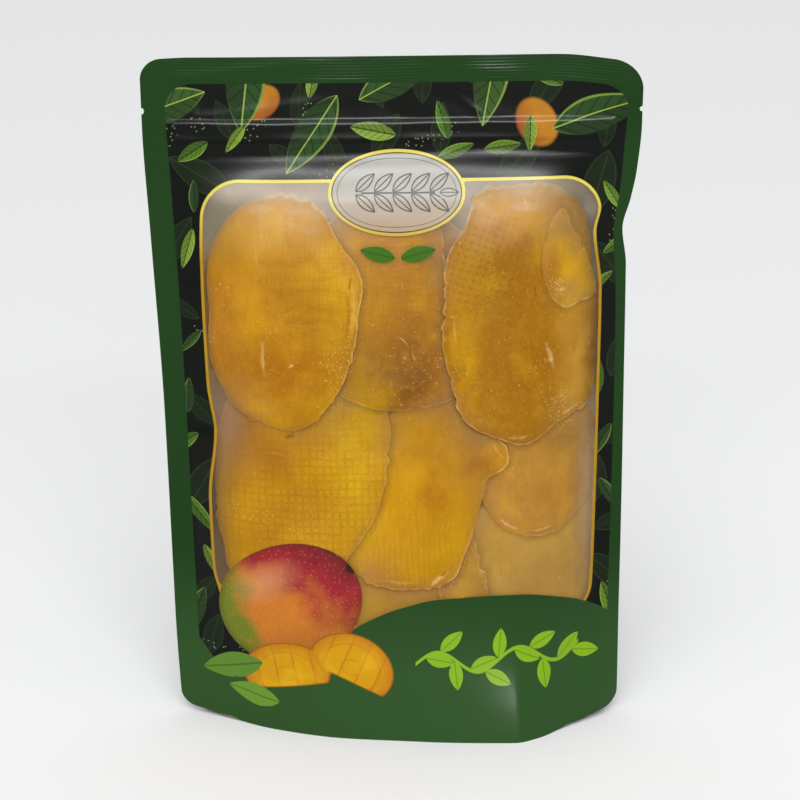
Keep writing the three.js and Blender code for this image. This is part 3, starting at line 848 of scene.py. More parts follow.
def sheet_rows():
    """Heights of the sheet's rows, closer at the zip, the crimped seal, the notches and the corners."""
    rows = list(np.arange(0.0, POUCH_HEIGHT, SHEET_ROW)) + [POUCH_HEIGHT]
    rows += [weld + WELD_HALF_WIDTH * k / 2 for weld in (ZIP_BOTTOM, ZIP_TOP) for k in range(-5, 6)]
    rows += list(np.arange(POUCH_HEIGHT - TOP_SEAL, POUCH_HEIGHT, CRIMP_PITCH / 5))
    rows += [NOTCH_HEIGHT + NOTCH_RADIUS * k for k in (-1, -0.8, -0.4, 0, 0.4, 0.8, 1)]
    rows += [POUCH_HEIGHT - TOP_CORNER_RADIUS_RIGHT * k for k in (0.01, 0.05, 0.15)]
    rows += [FOOT_CORNER_RADIUS * k for k in (0.03, 0.1)]
    rows = sorted(rows)
    kept = [rows[0]]
    for z in rows[1:]:
        if z - kept[-1] > LEAST_ROW:
            kept.append(z)
    kept[-1] = POUCH_HEIGHT
    return np.array(kept)


def flat_sheet():
    """The points and triangles of one flat panel of the pouch, with corners and notches."""
    share = np.linspace(-1, 1, SHEET_COLUMNS + 1)
    rows = sheet_rows()
    x, z = np.meshgrid(share, rows)
    side = np.where(x < 0, -1.0, 1.0)
    notch = np.where(np.abs(x) > 0.9999, side * notch_depth(z), 0.0)
    flat = np.stack([x * half_width(side, z) - notch, z], -1).reshape(-1, 2)
    return flat, grid_triangles(SHEET_COLUMNS, len(rows) - 1)


def split(flat, triangles, edge, snap=0.12):
    """Cuts flat triangles along a field's zero line. Returns the points, those inside and the rest."""
    edge = np.where(np.abs(edge) < snap, 0.0, edge)
    points, cuts = flat.tolist(), {}

    def cut(i, j):
        key = (min(i, j), max(i, j))
        if key not in cuts:
            t = edge[i] / (edge[i] - edge[j])
            cuts[key] = len(points)
            points.append((flat[i] + (flat[j] - flat[i]) * t).tolist())
        return cuts[key]

    low, high = edge[triangles].min(1), edge[triangles].max(1)
    inside = triangles[high <= 0].tolist()
    outside = triangles[(low >= 0) & (high > 0)].tolist()
    for triangle in triangles[(low < 0) & (high > 0)].tolist():
        for keep, sign in ((inside, -1), (outside, 1)):
            polygon = []
            for i, j in zip(triangle, triangle[1:] + triangle[:1]):
                if edge[i] * sign >= 0:
                    polygon.append(i)
                if edge[i] * edge[j] < 0:
                    polygon.append(cut(i, j))
            keep += [[polygon[0], polygon[k], polygon[k + 1]] for k in range(1, len(polygon) - 1)]
    return np.array(points), np.array(inside), np.array(outside)


def used_points(flat, triangles):
    """Only the points that these triangles use, renumbered."""
    kept, numbers = np.unique(triangles, return_inverse=True)
    return flat[kept], numbers.reshape(triangles.shape)


# Materials


def add(tree, kind, inputs=None, out=0, **settings):
    """Adds a node with its settings, values and links, and gives one of its outputs, or several."""
    made = tree.nodes.new("ShaderNode" + kind)
    for key, value in settings.items():
        setattr(made, key, value)
    for key, value in (inputs or {}).items():
        if isinstance(value, bpy.types.NodeSocket):
            tree.links.new(value, made.inputs[key])
        else:
            made.inputs[key].default_value = value
    if isinstance(out, tuple):
        return [made.outputs[name] for name in out]
    return made.outputs[out] if made.outputs else None


def new_material(name):
    material = bpy.data.materials.new(name)
    material.use_nodes = True
    material.node_tree.nodes.clear()
    return material, material.node_tree


def brush_over(tree, colour, strokes):
    """Lays colours over the ones before them, each covering up to its most while a value goes from its
    start to its end."""
    for value, start, end, most, over in strokes:
        mask = add(tree, "MapRange", {"Value": value, "From Min": start, "From Max": end, "To Max": most})
        colour = add(tree, "Mix", {0: mask, 6: colour, 7: srgb(over)}, out=2, data_type="RGBA")
    return colour


def sheet_place(tree):
    """The place on the flat sheet in millimetres."""
    place = add(tree, "UVMap", uv_map="sheet")
    return add(tree, "VectorMath", {0: place, 3: POUCH_HEIGHT}, operation="SCALE")


def blade(tree, name):
    """A lens-shaped leaf from its stored coordinates: how far inside its outline, along it and across it."""
    stored = add(tree, "Attribute", out="Vector", attribute_name=name)
    lengthwise, across, layer = add(tree, "SeparateXYZ", {0: stored}, out=(0, 1, 2))
    square = add(tree, "Math", {0: lengthwise, 1: lengthwise}, operation="MULTIPLY")
    belly = add(tree, "Math", {0: 1.0, 1: square}, operation="SUBTRACT", use_clamp=True)
    belly = add(tree, "Math", {0: belly, 1: BLADE_BELLY}, operation="POWER")
    taper = add(tree, "Math", {0: lengthwise, 1: -BLADE_TAPER, 2: 1.0}, operation="MULTIPLY_ADD")
    belly = add(tree, "Math", {0: belly, 1: taper}, operation="MULTIPLY")
    side = add(tree, "Math", {0: across}, operation="ABSOLUTE")
    inside = add(tree, "Math", {0: belly, 1: side}, operation="SUBTRACT")
    return inside, lengthwise, across, side, layer


def leaf_paint(tree):
    """Leaves with a midrib, side veins, a darker half and a light outline. Gives where they are, whether
    they are printed over all else, and their colours."""
    ink, rib = add(tree, "Attribute", out=("Color", "Alpha"), attribute_name="leaf_ink")
    inside, lengthwise, across, side, layer = blade(tree, "leaf")
    dark, light = srgb("#0B120A"), srgb("#8FA642")
    slanted = add(tree, "Math", {0: side, 1: -0.42, 2: lengthwise}, operation="MULTIPLY_ADD")
    comb = add(tree, "Math", {0: slanted, 1: 3.4}, operation="MULTIPLY")
    comb = add(tree, "Math", {0: comb}, operation="FRACT")
    uneven_rim = add(tree, "Math", {0: across, 1: -0.09, 2: inside}, operation="MULTIPLY_ADD")
    # A large leaf has a light rib, and a thinner one for its size
    thinner = add(tree, "Math", {0: 2.0, 1: rib}, operation="SUBTRACT")
    from_rib = add(tree, "Math", {0: side, 1: thinner}, operation="MULTIPLY")
    rib_ink = add(tree, "Mix", {0: rib, 6: light, 7: dark}, out=2, data_type="RGBA")
    masks = {}
    for name, value, start, end, most in (
            ("half", across, 0.05, -0.05, 0.4), ("veins", comb, 0.2, 0.06, 0.7),
            ("rim", uneven_rim, 0.12, 0.06, 0.5), ("rib", from_rib, 0.1, 0.05, 0.8),
            ("plain_rib", side, 0.1, 0.05, 0.4), ("shape", inside, 0.0, 0.06, 1.0),
            ("outline", inside, 0.32, 0.24, 1.0), ("stalk", side, 0.13, 0.08, 1.0)):
        masks[name] = add(tree, "MapRange", {"Value": value, "From Min": start, "From Max": end,
                                             "To Max": most})
    colour = ink
    for name, over in (("half", dark), ("veins", dark), ("rim", light), ("rib", rib_ink)):
        colour = add(tree, "Mix", {0: masks[name], 6: colour, 7: over}, out=2, data_type="RGBA")
    plain = add(tree, "Mix", {0: masks["plain_rib"], 6: ink, 7: dark}, out=2, data_type="RGBA")
    on_top = add(tree, "Math", {0: layer, 1: 0.5}, operation="GREATER_THAN")
    colour = add(tree, "Mix", {0: on_top, 6: colour, 7: plain}, out=2, data_type="RGBA")
    # A leaf in layer 2 is drawn in line only
    drawn = add(tree, "Math", {0: masks["outline"], 1: masks["stalk"]}, operation="MAXIMUM")
    empty = add(tree, "Math", {0: 1.0, 1: drawn}, operation="SUBTRACT", use_clamp=True)
    only_line = add(tree, "Math", {0: layer, 1: 1.5}, operation="GREATER_THAN")
    hollow = add(tree, "Math", {0: only_line, 1: empty}, operation="MULTIPLY")
    whole = add(tree, "Math", {0: 1.0, 1: hollow}, operation="SUBTRACT")
    shape = add(tree, "Math", {0: masks["shape"], 1: whole}, operation="MULTIPLY")
    return shape, on_top, colour


def header_fruit_paint(tree):
    """The small whole fruits on the dark panel: orange, ruddy below and dark at their outline."""
    stored = add(tree, "Attribute", out="Vector", attribute_name="header_fruit")
    reach = add(tree, "VectorMath", {0: stored}, out="Value", operation="LENGTH")
    across = add(tree, "SeparateXYZ", {0: stored}, out=1)
    colour = brush_over(tree, srgb("#A56C1C"), (
        (across, 0.2, -0.9, 1.0, "#8A4818"), (reach, 0.5, 0.0, 0.3, "#C08A30"),
        (reach, 0.88, 0.98, 0.7, "#2A1C0A")))
    return add(tree, "MapRange", {"Value": reach, "From Min": 1.03, "From Max": 0.97}), colour


def ghost_paint(tree):
    """Faint dark leaves in the depth of the panel."""
    inside, _, _, side, _ = blade(tree, "ghost_leaf")
    colour = brush_over(tree, srgb("#121D0C"), (
        (inside, 0.13, 0.07, 0.5, "#2C3F17"), (side, 0.07, 0.03, 0.5, "#283A16")))
    return add(tree, "MapRange", {"Value": inside, "From Max": 0.05}), colour


def dot_paint(tree, place):
    """Loose clusters of dots about 0.6 mm across."""
    dots = add(tree, "TexVoronoi", {"Vector": place, "Scale": 0.42}, out="Distance", voronoi_dimensions="2D")
    dots = add(tree, "MapRange", {"Value": dots, "From Min": 0.16, "From Max": 0.1})
    clusters = add(tree, "TexNoise", {"Vector": place, "Scale": 0.05, "Detail": 1.0}, noise_dimensions="2D")
    clusters = add(tree, "Math", {0: clusters, 1: 0.71}, operation="GREATER_THAN")
    return add(tree, "Math", {0: dots, 1: clusters}, operation="MULTIPLY"), srgb("#66754E")


def stroke(tree, name, half_width):
    """A drawn stem, from its stored offset and how far past its end a point is."""
    stored = add(tree, "Attribute", out="Vector", attribute_name=name)
    off, past_end = add(tree, "SeparateXYZ", {0: stored}, out=(0, 1))
    off = add(tree, "Math", {0: off}, operation="ABSOLUTE")
    off = add(tree, "Math", {0: off, 1: past_end}, operation="MAXIMUM")
    return add(tree, "MapRange", {"Value": off, "From Min": half_width + INK_BLEED,
                                  "From Max": half_width - INK_BLEED})


def print_masks(tree):
    """Where the fields of the print are, from their stored edges. The rings lie inside the label's edge."""
    masks = {}
    for name, attribute, edge in (("panel", "panel_edge", 0.0), ("ring", "label_edge", 0.0),
                                  ("ring_line", "label_edge", -1.25), ("label", "label_edge", -1.7),
                                  ("hairline", "label_edge", -3.4), ("label_middle", "label_edge", -3.65),
                                  ("window_line", "window_line", LINE_WIDTH), ("band", "band_edge", 0.0)):
        stored = add(tree, "Attribute", out="Fac", attribute_name=attribute)
        masks[name] = add(tree, "MapRange", {"Value": stored, "From Min": edge + INK_BLEED,
                                             "From Max": edge - INK_BLEED})
    return masks


def print_grounds_with_shade(tree, place):
    """Colours that go over into another with height: the green, lighter at the foot, the gold lines, with
    painted shade lower down, and the pale label, with painted grey shade at its top.
    """
    height = add(tree, "SeparateXYZ", {0: place}, out=1)
    grounds = {}
    # The gold's darker low ink and the label's grey top ink are painted shade
    for name, start, end, low, high in (("green", 74.0, 26.0, "#15350F", "#284820"),
                                        ("gold", 196.0, 226.0, "#A27A18", "#CDBD50"),
                                        ("label", 230.0, 209.0, "#9C9A93", "#A08A6C")):
        grounds[name] = brush_over(tree, srgb(low), [(height, start, end, 1.0, high)])
    return grounds


def printed_colours(tree, place):
    """The print of the laminate, from its ground upwards."""
    fields, grounds = print_masks(tree), print_grounds_with_shade(tree, place)
    shape, on_top, leaf = leaf_paint(tree)
    behind = add(tree, "Math", {0: 1.0, 1: on_top}, operation="SUBTRACT")
    behind = add(tree, "Math", {0: behind, 1: shape}, operation="MULTIPLY")
    before = add(tree, "Math", {0: shape, 1: on_top}, operation="MULTIPLY")
    colour = grounds["green"]
    for mask, over in ((1.0, srgb("#070A06")), ghost_paint(tree), header_fruit_paint(tree),
                       dot_paint(tree, place), (behind, leaf)):
        on_panel = add(tree, "Math", {0: mask, 1: fields["panel"]}, operation="MULTIPLY")
        colour = add(tree, "Mix", {0: on_panel, 6: colour, 7: over}, out=2, data_type="RGBA")
    for mask, over in (
            (fields["window_line"], grounds["gold"]), (fields["ring"], grounds["gold"]),
            (fields["ring_line"], srgb("#1E1C14")), (fields["label"], grounds["label"]),
            (fields["hairline"], srgb(LINE_INK)), (fields["label_middle"], grounds["label"]),
            (stroke(tree, "stem", STEM_HALF_WIDTH), srgb(LINE_INK)), (fields["band"], grounds["green"]),
            (stroke(tree, "vine", VINE_HALF_WIDTH), srgb(LIME)), whole_fruit_paint(tree, place),
            cut_piece_paint(tree, place), (before, leaf)):
        colour = add(tree, "Mix", {0: mask, 6: colour, 7: over}, out=2, data_type="RGBA")
    return colour


def colour_clouds(tree, place):
    """Soft clouds about 11 mm across, which make the painted fruits' colours uneven."""
    cloud = add(tree, "TexNoise", {"Vector": place, "Scale": 0.09, "Detail": 4.0}, noise_dimensions="2D")
    return add(tree, "Math", {0: cloud, 1: 0.9, 2: -0.45}, operation="MULTIPLY_ADD")


def whole_fruit_paint(tree, place):
    """The whole fruit: red over orange and green, with fine pale pores and a dark stalk end."""
    stored = add(tree, "Attribute", out="Vector", attribute_name="fruit")
    lengthwise, upwards, edge = add(tree, "SeparateXYZ", {0: stored}, out=(0, 1, 2))
    pores = add(tree, "TexVoronoi", {"Vector": place, "Scale": 0.36}, out="Distance",
                voronoi_dimensions="2D")
    length_at = add(tree, "Math", {0: lengthwise, 1: colour_clouds(tree, place)}, operation="ADD")
    red_at = add(tree, "Math", {0: upwards, 1: 0.6, 2: length_at}, operation="MULTIPLY_ADD")
    # The lit place is an oval round (-0.2, 0.5) in the fruit's own coordinates
    lit = add(tree, "VectorMath", {0: stored, 1: (1.0, 1.6, 0.0)}, operation="MULTIPLY")
    lit = add(tree, "VectorMath", {0: lit, 1: (-0.2, 0.8, 0.0)}, out="Value", operation="DISTANCE")
    stalk = add(tree, "VectorMath", {0: stored, 1: (1.0, 0.8, 0.0)}, operation="MULTIPLY")
    stalk = add(tree, "VectorMath", {0: stalk, 1: (0.93, 0.1, 0.0)}, out="Value", operation="DISTANCE")
    skin = brush_over(tree, srgb("#B86C24"), (
        (length_at, -0.4, -0.8, 1.0, "#66701E"), (red_at, -0.1, 0.5, 1.0, "#8C2228"),
        (red_at, 0.6, 1.1, 0.7, "#54181C"), (lit, 0.6, 0.1, 0.45, "#D09468"),
        (upwards, -0.2, -0.95, 0.5, "#4C2A10"), (pores, 0.13, 0.07, 0.22, "#D2A060"),
        (edge, -2.4, 0.0, 0.4, "#40240E"), (stalk, 0.09, 0.06, 1.0, "#2A1A0C")))
    return add(tree, "MapRange", {"Value": edge, "From Min": INK_BLEED, "From Max": -INK_BLEED}), skin


def cut_piece_paint(tree, place):
    """The cut pieces before the whole fruit: yellow flesh, scored both ways, darker at its skin."""
    stored = add(tree, "Attribute", out="Vector", attribute_name="cut_piece")
    lengthwise, reach, edge = add(tree, "SeparateXYZ", {0: stored}, out=(0, 1, 2))
    flesh = srgb("#BC8A08")
    for value, turns, over in ((lengthwise, 2.4, "#A45E12"), (reach, 2.2, "#B06E14")):
        line = add(tree, "Math", {0: value, 1: turns}, operation="MULTIPLY")
        line = add(tree, "Math", {0: line}, operation="FRACT")
        line = add(tree, "Math", {0: line, 1: 0.5}, operation="SUBTRACT")
        line = add(tree, "Math", {0: line}, operation="ABSOLUTE")
        flesh = brush_over(tree, flesh, [(line, 0.07, 0.02, 0.7, over)])
    flesh = brush_over(tree, flesh, (
        (colour_clouds(tree, place), -0.05, 0.2, 0.6, "#D2A21C"), (reach, 0.62, 0.98, 0.8, "#A86212"),
        (edge, -0.7, -0.2, 0.8, "#7C4A10")))
    return add(tree, "MapRange", {"Value": edge, "From Min": INK_BLEED, "From Max": -INK_BLEED}), flesh


def printed_laminate(name):
    """Matt-lacquered PET over reverse print: deep satin colour with a soft sheen on its creases."""
    material, tree = new_material(name)
    place = sheet_place(tree)
    colour = printed_colours(tree, place)
    grain = add(tree, "TexNoise", {"Vector": place, "Scale": 0.55, "Detail": 4.0, "Roughness": 0.6})
    sheen = add(tree, "TexNoise", {"Vector": place, "Scale": 0.02, "Detail": 2.0})
    rough = add(tree, "MapRange", {"Value": sheen, "From Min": 0.3, "From Max": 0.7, "To Min": 0.2,
                                   "To Max": 0.28})
    bump = add(tree, "Bump", {"Strength": 0.12, "Distance": 0.0002, "Height": grain})
    shader = add(tree, "BsdfPrincipled", {"Base Color": colour, "Roughness": rough, "Normal": bump,
                                          "IOR": 1.46, "Specular IOR Level": 0.12})
    add(tree, "OutputMaterial", {"Surface": shader})
    return material


def liner_film():
    """White polyethylene, the inner face of the laminate: the dark print behind it greys it."""
    material, tree = new_material("polyethylene_liner")
    cloud = add(tree, "TexNoise", {"Scale": 60.0, "Detail": 2.0})
    colour = add(tree, "Mix", {0: cloud, 6: srgb("#8A8270"), 7: srgb("#9A9380")}, out=2, data_type="RGBA")
    shader = add(tree, "BsdfPrincipled", {"Base Color": colour, "Roughness": 0.5, "IOR": 1.5})
    add(tree, "OutputMaterial", {"Surface": shader})
    return material


def window_film():
    """Clear PET and polyethylene with a matt face: saturated where it lies on a slice, and where it
    stands off milky with the light of the fruit behind it."""
    material, tree = new_material("matt_clear_window")
    place = sheet_place(tree)
    haze = add(tree, "Attribute", out="Fac", attribute_name="haze")
    tint = add(tree, "Attribute", out="Color", attribute_name="tint")
    cloud = add(tree, "TexNoise", {"Vector": place, "Scale": 0.035, "Detail": 4.0})
    milk = add(tree, "Math", {0: cloud, 1: 0.28, 2: 0.26}, operation="MULTIPLY_ADD")
    veil = add(tree, "Math", {0: haze, 1: milk}, operation="MULTIPLY")
    glancing = add(tree, "LayerWeight", {"Blend": 0.12}, out="Fresnel")
    veil = add(tree, "Math", {0: glancing, 1: 0.3, 2: veil}, operation="MULTIPLY_ADD", use_clamp=True)
    grain = add(tree, "TexNoise", {"Vector": place, "Scale": 0.5, "Detail": 4.0})
    bump = add(tree, "Bump", {"Strength": 0.12, "Distance": 0.0002, "Height": grain})
    clear = add(tree, "BsdfTransparent", {"Color": (1.0, 1.0, 1.0, 1.0)})
    film = add(tree, "BsdfPrincipled", {"Base Color": tint, "Roughness": 0.36, "IOR": 1.5, "Normal": bump})
    shader = add(tree, "MixShader", {0: veil, 1: clear, 2: film})
    add(tree, "OutputMaterial", {"Surface": shader})
    return material


def tray_print(tree, pressed):
    """The print of the tray's mesh: sunk threads where either of its waves is high, pits where both are."""
    weave = add(tree, "Attribute", out="Vector", attribute_name="weave")
    waves = []
    for phase in add(tree, "SeparateXYZ", {0: weave}, out=(0, 1)):
        wave = add(tree, "Math", {0: phase, 1: 2 * math.pi}, operation="MULTIPLY")
        wave = add(tree, "Math", {0: wave}, operation="COSINE")
        waves.append(add(tree, "Math", {0: wave, 1: 0.5, 2: 0.5}, operation="MULTIPLY_ADD"))
    sunk = []
    for name, meeting, sharp in (("threads", "MAXIMUM", 3.0), ("pits", "MULTIPLY", 2.0)):
        depth = add(tree, "Math", {0: waves[0], 1: waves[1]}, operation=meeting)
        depth = add(tree, "Math", {0: depth, 1: sharp}, operation="POWER")
        sunk.append(add(tree, "Math", {0: depth, 1: pressed[name]}, operation="MULTIPLY"))
    return sunk


def mark_paint(tree, mottle):
    """Streaks, slits, folds and a painted shadow. The mottling breaks up the outline of each."""
    ink, much = add(tree, "Attribute", out=("Color", "Alpha"), attribute_name="mark_ink")
    marked = add(tree, "Math", {0: mottle, 1: 2.4, 2: blade(tree, "mark")[0]}, operation="MULTIPLY_ADD")
    return add(tree, "MapRange", {"Value": marked, "From Min": 1.2, "From Max": 2.4, "To Max": much}), ink


def sugar_specks(tree, at, sugar):
    """Sugar grains about half a millimetre across, the more of them the more sugar there is."""
    near, ink = add(tree, "TexVoronoi", {"Vector": at, "Scale": 900.0}, out=("Distance", "Color"))
    chance = add(tree, "SeparateColor", {0: ink})
    chance = add(tree, "Math", {0: chance, 1: sugar}, operation="ADD")
    strewn = add(tree, "Math", {0: chance, 1: 0.95}, operation="GREATER_THAN")
    grain = add(tree, "MapRange", {"Value": near, "From Min": 0.26, "From Max": 0.14, "To Max": 0.5})
    return add(tree, "Math", {0: grain, 1: strewn}, operation="MULTIPLY")


def dried_mango():
    """Dried ripe mango flesh: amber, a little translucent, with the print of the drying tray's mesh, and
    thin pale rims."""
    material, tree = new_material("dried_mango_flesh")
    at = add(tree, "TexCoord", out="Object")
    flesh = add(tree, "Attribute", out="Color", attribute_name="flesh")
    stored = {}
    for name in ("rim", "torn", "sugar", "rim_shadow", "threads", "pits"):
        stored[name] = add(tree, "Attribute", out="Fac", attribute_name=name)
    # Blotches about 18 mm wide, mottling 3 mm, specks 1 mm, and fibres 1.6 mm apart and 10 mm long
    blotch = add(tree, "TexNoise", {"Vector": at, "Scale": 55.0, "Detail": 3.0, "Roughness": 0.55})
    specks = add(tree, "TexNoise", {"Vector": at, "Scale": 1000.0, "Detail": 2.0})
    mottle = add(tree, "TexNoise", {"Vector": at, "Scale": 330.0, "Detail": 5.0, "Roughness": 0.65})
    upright = add(tree, "Mapping", {"Vector": at, "Scale": (1.0, 1.0, 0.16)})
    fibres = add(tree, "TexNoise", {"Vector": upright, "Scale": 620.0, "Detail": 3.0})
    threads, pits = tray_print(tree, stored)
    worn = add(tree, "MapRange", {"Value": mottle, "From Min": 0.38, "From Max": 0.62, "To Min": 0.1,
                                  "To Max": 0.7})
    thread_at = add(tree, "Math", {0: threads, 1: worn}, operation="MULTIPLY")
    pit_at = add(tree, "Math", {0: pits, 1: 0.4}, operation="MULTIPLY")
    pale_rim = add(tree, "MapRange", {"Value": stored["rim"], "From Min": 0.9, "From Max": 0.2,
                                      "To Max": 0.75})
    pale_at = add(tree, "Math", {0: pale_rim, 1: stored["torn"]}, operation="MULTIPLY")
    grain_at = sugar_specks(tree, at, stored["sugar"])
    colour = brush_over(tree, flesh, (
        (blotch, 0.44, 0.7, 0.3, "#8A5406"), (blotch, 0.46, 0.28, 0.3, "#CCA00C"),
        (mottle, 0.46, 0.24, 0.22, "#8C5808"), (mottle, 0.5, 0.76, 0.22, "#CC9A22"),
        (fibres, 0.54, 0.74, 0.2, "#86520A"), (specks, 0.62, 0.72, 0.3, "#D0A43C")))
    for mask, over in ((thread_at, "#875208"), (pit_at, "#7C4C0C")):
        colour = add(tree, "Mix", {0: mask, 6: colour, 7: srgb(over)}, out=2, data_type="RGBA")
    # Painted shadow on a slice beside the rim of each slice that lies over it
    colour = brush_over(tree, colour, [(stored["rim_shadow"], 3.0, 0.1, 0.42, "#6E4214")])
    for mask, over in ((pale_at, srgb("#D2A968")), mark_paint(tree, mottle), (grain_at, srgb("#DDB566"))):
        colour = add(tree, "Mix", {0: mask, 6: colour, 7: over}, out=2, data_type="RGBA")
    rough = add(tree, "MapRange", {"Value": mottle, "From Min": 0.3, "From Max": 0.7, "To Min": 0.34,
                                   "To Max": 0.58})
    height = mottle
    for value, share in ((fibres, 0.3), (threads, -0.6), (pits, -0.8), (grain_at, 1.6)):
        height = add(tree, "Math", {0: value, 1: share, 2: height}, operation="MULTIPLY_ADD")
    bump = add(tree, "Bump", {"Strength": 0.45, "Distance": 0.0006, "Height": height})
    shader = add(tree, "BsdfPrincipled", {
        "Base Color": colour, "Roughness": rough, "Normal": bump, "IOR": 1.45, "Specular IOR Level": 0.06,
        "Subsurface Weight": 0.25, "Subsurface Radius": (0.002, 0.001, 0.0003), "Subsurface Scale": 1.0})
    add(tree, "OutputMaterial", {"Surface": shader})
    return material


def sugar_grain():
    """Fruit sugar dried out on the flesh: small pale glassy grains."""
    material, tree = new_material("fruit_sugar")
    cloud = add(tree, "TexNoise", {"Scale": 800.0})
    colour = add(tree, "Mix", {0: cloud, 6: srgb("#CC9C4C"), 7: srgb("#E2BE7A")}, out=2, data_type="RGBA")
    shader = add(tree, "BsdfPrincipled", {"Base Color": colour, "Roughness": 0.3, "IOR": 1.54})
    add(tree, "OutputMaterial", {"Surface": shader})
    return material


# Pieces


def give_print(piece, flat, faces, leaves, ghosts, windowed):
    """Stores on a film the edges of its print and the places in its leaves, stems and fruits."""
    x, z = flat[:, 0], flat[:, 1]
    far = np.full(len(flat), FAR)
    give(piece, "panel_edge", panel_edge(x, z))
    give(piece, "window_line", window_edge(x, z) if windowed else far)
    give(piece, "label_edge", label_edge(x, z) if windowed else far)
    give(piece, "band_edge", band_edge(x, z) if windowed else back_band_edge(x, z))
    from_vine_middle = np.abs(x - (VINE_LEFT + VINE_RIGHT) / 2)
    from_stem_middle = np.abs(x - LABEL["x"] - STEM_SHIFT)
    strokes = {"vine": (VINE_SLANT * (z - vine_height(x)), from_vine_middle - (VINE_RIGHT - VINE_LEFT) / 2),
               "stem": (z - LABEL["z"], from_stem_middle - STEM_HALF_LENGTH)}
    for name, (off, past_end) in strokes.items():
        give(piece, name, np.stack([off if windowed else far, past_end, 0 * x], -1))
    a, b = local(FRUIT, x, z)
    give(piece, "fruit", np.stack([a, b, fruit_edge(x, z) if windowed else far], -1))
    edges = np.array([cut_edge(cut, x, z) for cut in CUT_PIECES])
    places = np.array([local(cut, x, z) for cut in CUT_PIECES])
    a, b = places[edges.argmin(0), :, np.arange(len(x))].T
    give(piece, "cut_piece", np.stack([a, np.hypot(a, b), edges.min(0) if windowed else far], -1))
    give_leaves(piece, flat[faces], leaves, ghosts)


def give_leaves(piece, corners, leaves, ghosts):
    """Stores the leaf or the small fruit that each face may show."""
    middles = corners.mean(1)
    coordinates, inks = leaf_coordinates(leaves, middles, corners)
    give(piece, "leaf", coordinates.reshape(-1, 3), "CORNER")
    give(piece, "leaf_ink", inks.reshape(-1, 4), "CORNER")
    give(piece, "ghost_leaf", leaf_coordinates(ghosts, middles, corners)[0].reshape(-1, 3), "CORNER")
    small = np.tile(np.array(NOWHERE), (len(corners), 3, 1))
    for fruit in HEADER_FRUITS:
        a, b = local(fruit, middles[:, 0], middles[:, 1])
        near = np.hypot(a, b) < 1.6
        a, b = local(fruit, corners[near, :, 0], corners[near, :, 1])
        small[near] = np.stack([a, b, np.zeros(a.shape)], -1)
    give(piece, "header_fruit", small.reshape(-1, 3), "CORNER")


def patch_share(patch, x, z):
    """1 in the middle of an oval patch, falling off softly towards its reach and beyond."""
    dx, dz = (x - patch["x"]) / patch["reach"][0], (z - patch["z"]) / patch["reach"][1]
    return np.exp(-dx ** 2 - dz ** 2)


def spots_at(spots, x, z):
    """How much the round spots add up to at a place."""
    total = np.zeros(np.shape(x))
    for spot in spots:
        off = (x - spot["x"]) ** 2 + (z - spot["z"]) ** 2
        total += spot["much"] * np.exp(-off / spot["reach"] ** 2)
    return total


# Where the clear film is milkier than its distance from the fruit alone would make it, and where its veil
# paints shade or sheen
VEIL_TINT, TOP_SHEEN_TINT, BROKEN_LIGHT = "#8E6A34", "#B89C76", "#D4C4A4"
VEIL_PATCHES = table("x z reach colour much", [
    (-74, 219, (13, 12), "#6E6A54", 0.25),
    # Painted sheen along the top of the window
    (-10, 226, (90, 5), "#C8B69C", 0.25),
    # Painted shade at the top right
    (82, 202, (5, 15), "#584020", 0.45),
    # Painted sheen at the top left
    (-62, 226, (13, 5), "#DCCDAE", 0.3),
    (-74, 214, (6, 8), "#7E7050", -0.1),
    # Painted shade in the top right corner
    (77, 220, (12, 11), "#6E5E44", 0.25),
    (19, 211, (10, 10), "#8E6A3E", -0.42),
    (-19, 210, (8, 9), "#A07A44", -0.25),
    (0, 206, (14, 5), "#A8824A", -0.15),
    # Painted shade in the gap along the window's right edge
    (83, 160, (5, 30), "#4C381C", 0.4),
    (82.5, 177, (4.5, 12), "#44341C", 0.25),
    (82.5, 208, (5, 9), "#4A3C26", 0.25),
    # Painted sheen down the lower right side
    (83, 84, (6, 26), "#AC9C88", 0.75),
    (60, 62, (26, 26), "#A88A54", 0.15),
    (-76, 96, (5, 34), "#6E5C46", 0.2),
    (-69, 130, (7, 17), "#A27E60", 0.4),
    # Painted sheen down the right side
    (77, 105, (5, 26), "#B09A78", 0.2),
])


def veil_at(x, z, gap):
    """How milky the clear film is, and the light that its milk takes on."""
    haze = 0.6 * ramp(gap, 0.34, 2.74) + 0.25 * ramp(gap, 2.0, 8.0)
    # The rise towards the header and its paler tint are painted sheen where the film turns up to the light
    haze = haze + 0.36 * ramp(z, 190, 224) + 0.1 * ramp(window_edge(x, z), -6, 0)
    high = ramp(z, 188, 224)[:, None]
    tint = mix(np.array(srgb(VEIL_TINT)), np.array(srgb(TOP_SHEEN_TINT)), high)
    # Broken light on the puckers below the header
    broken = smooth(ripple(x, 1.5 * z, 13.0, seed=62) - 0.1) * ramp(z, 198, 220)
    haze = haze + 0.2 * broken
    tint = mix(tint, np.array(srgb(BROKEN_LIGHT)), 0.6 * broken[:, None])
    for patch in VEIL_PATCHES:
        share = patch_share(patch, x, z)
        haze = haze + patch["much"] * share
        tint = mix(tint, np.array(srgb(patch["colour"])), share[:, None])
    return np.clip(haze, 0, 1), tint


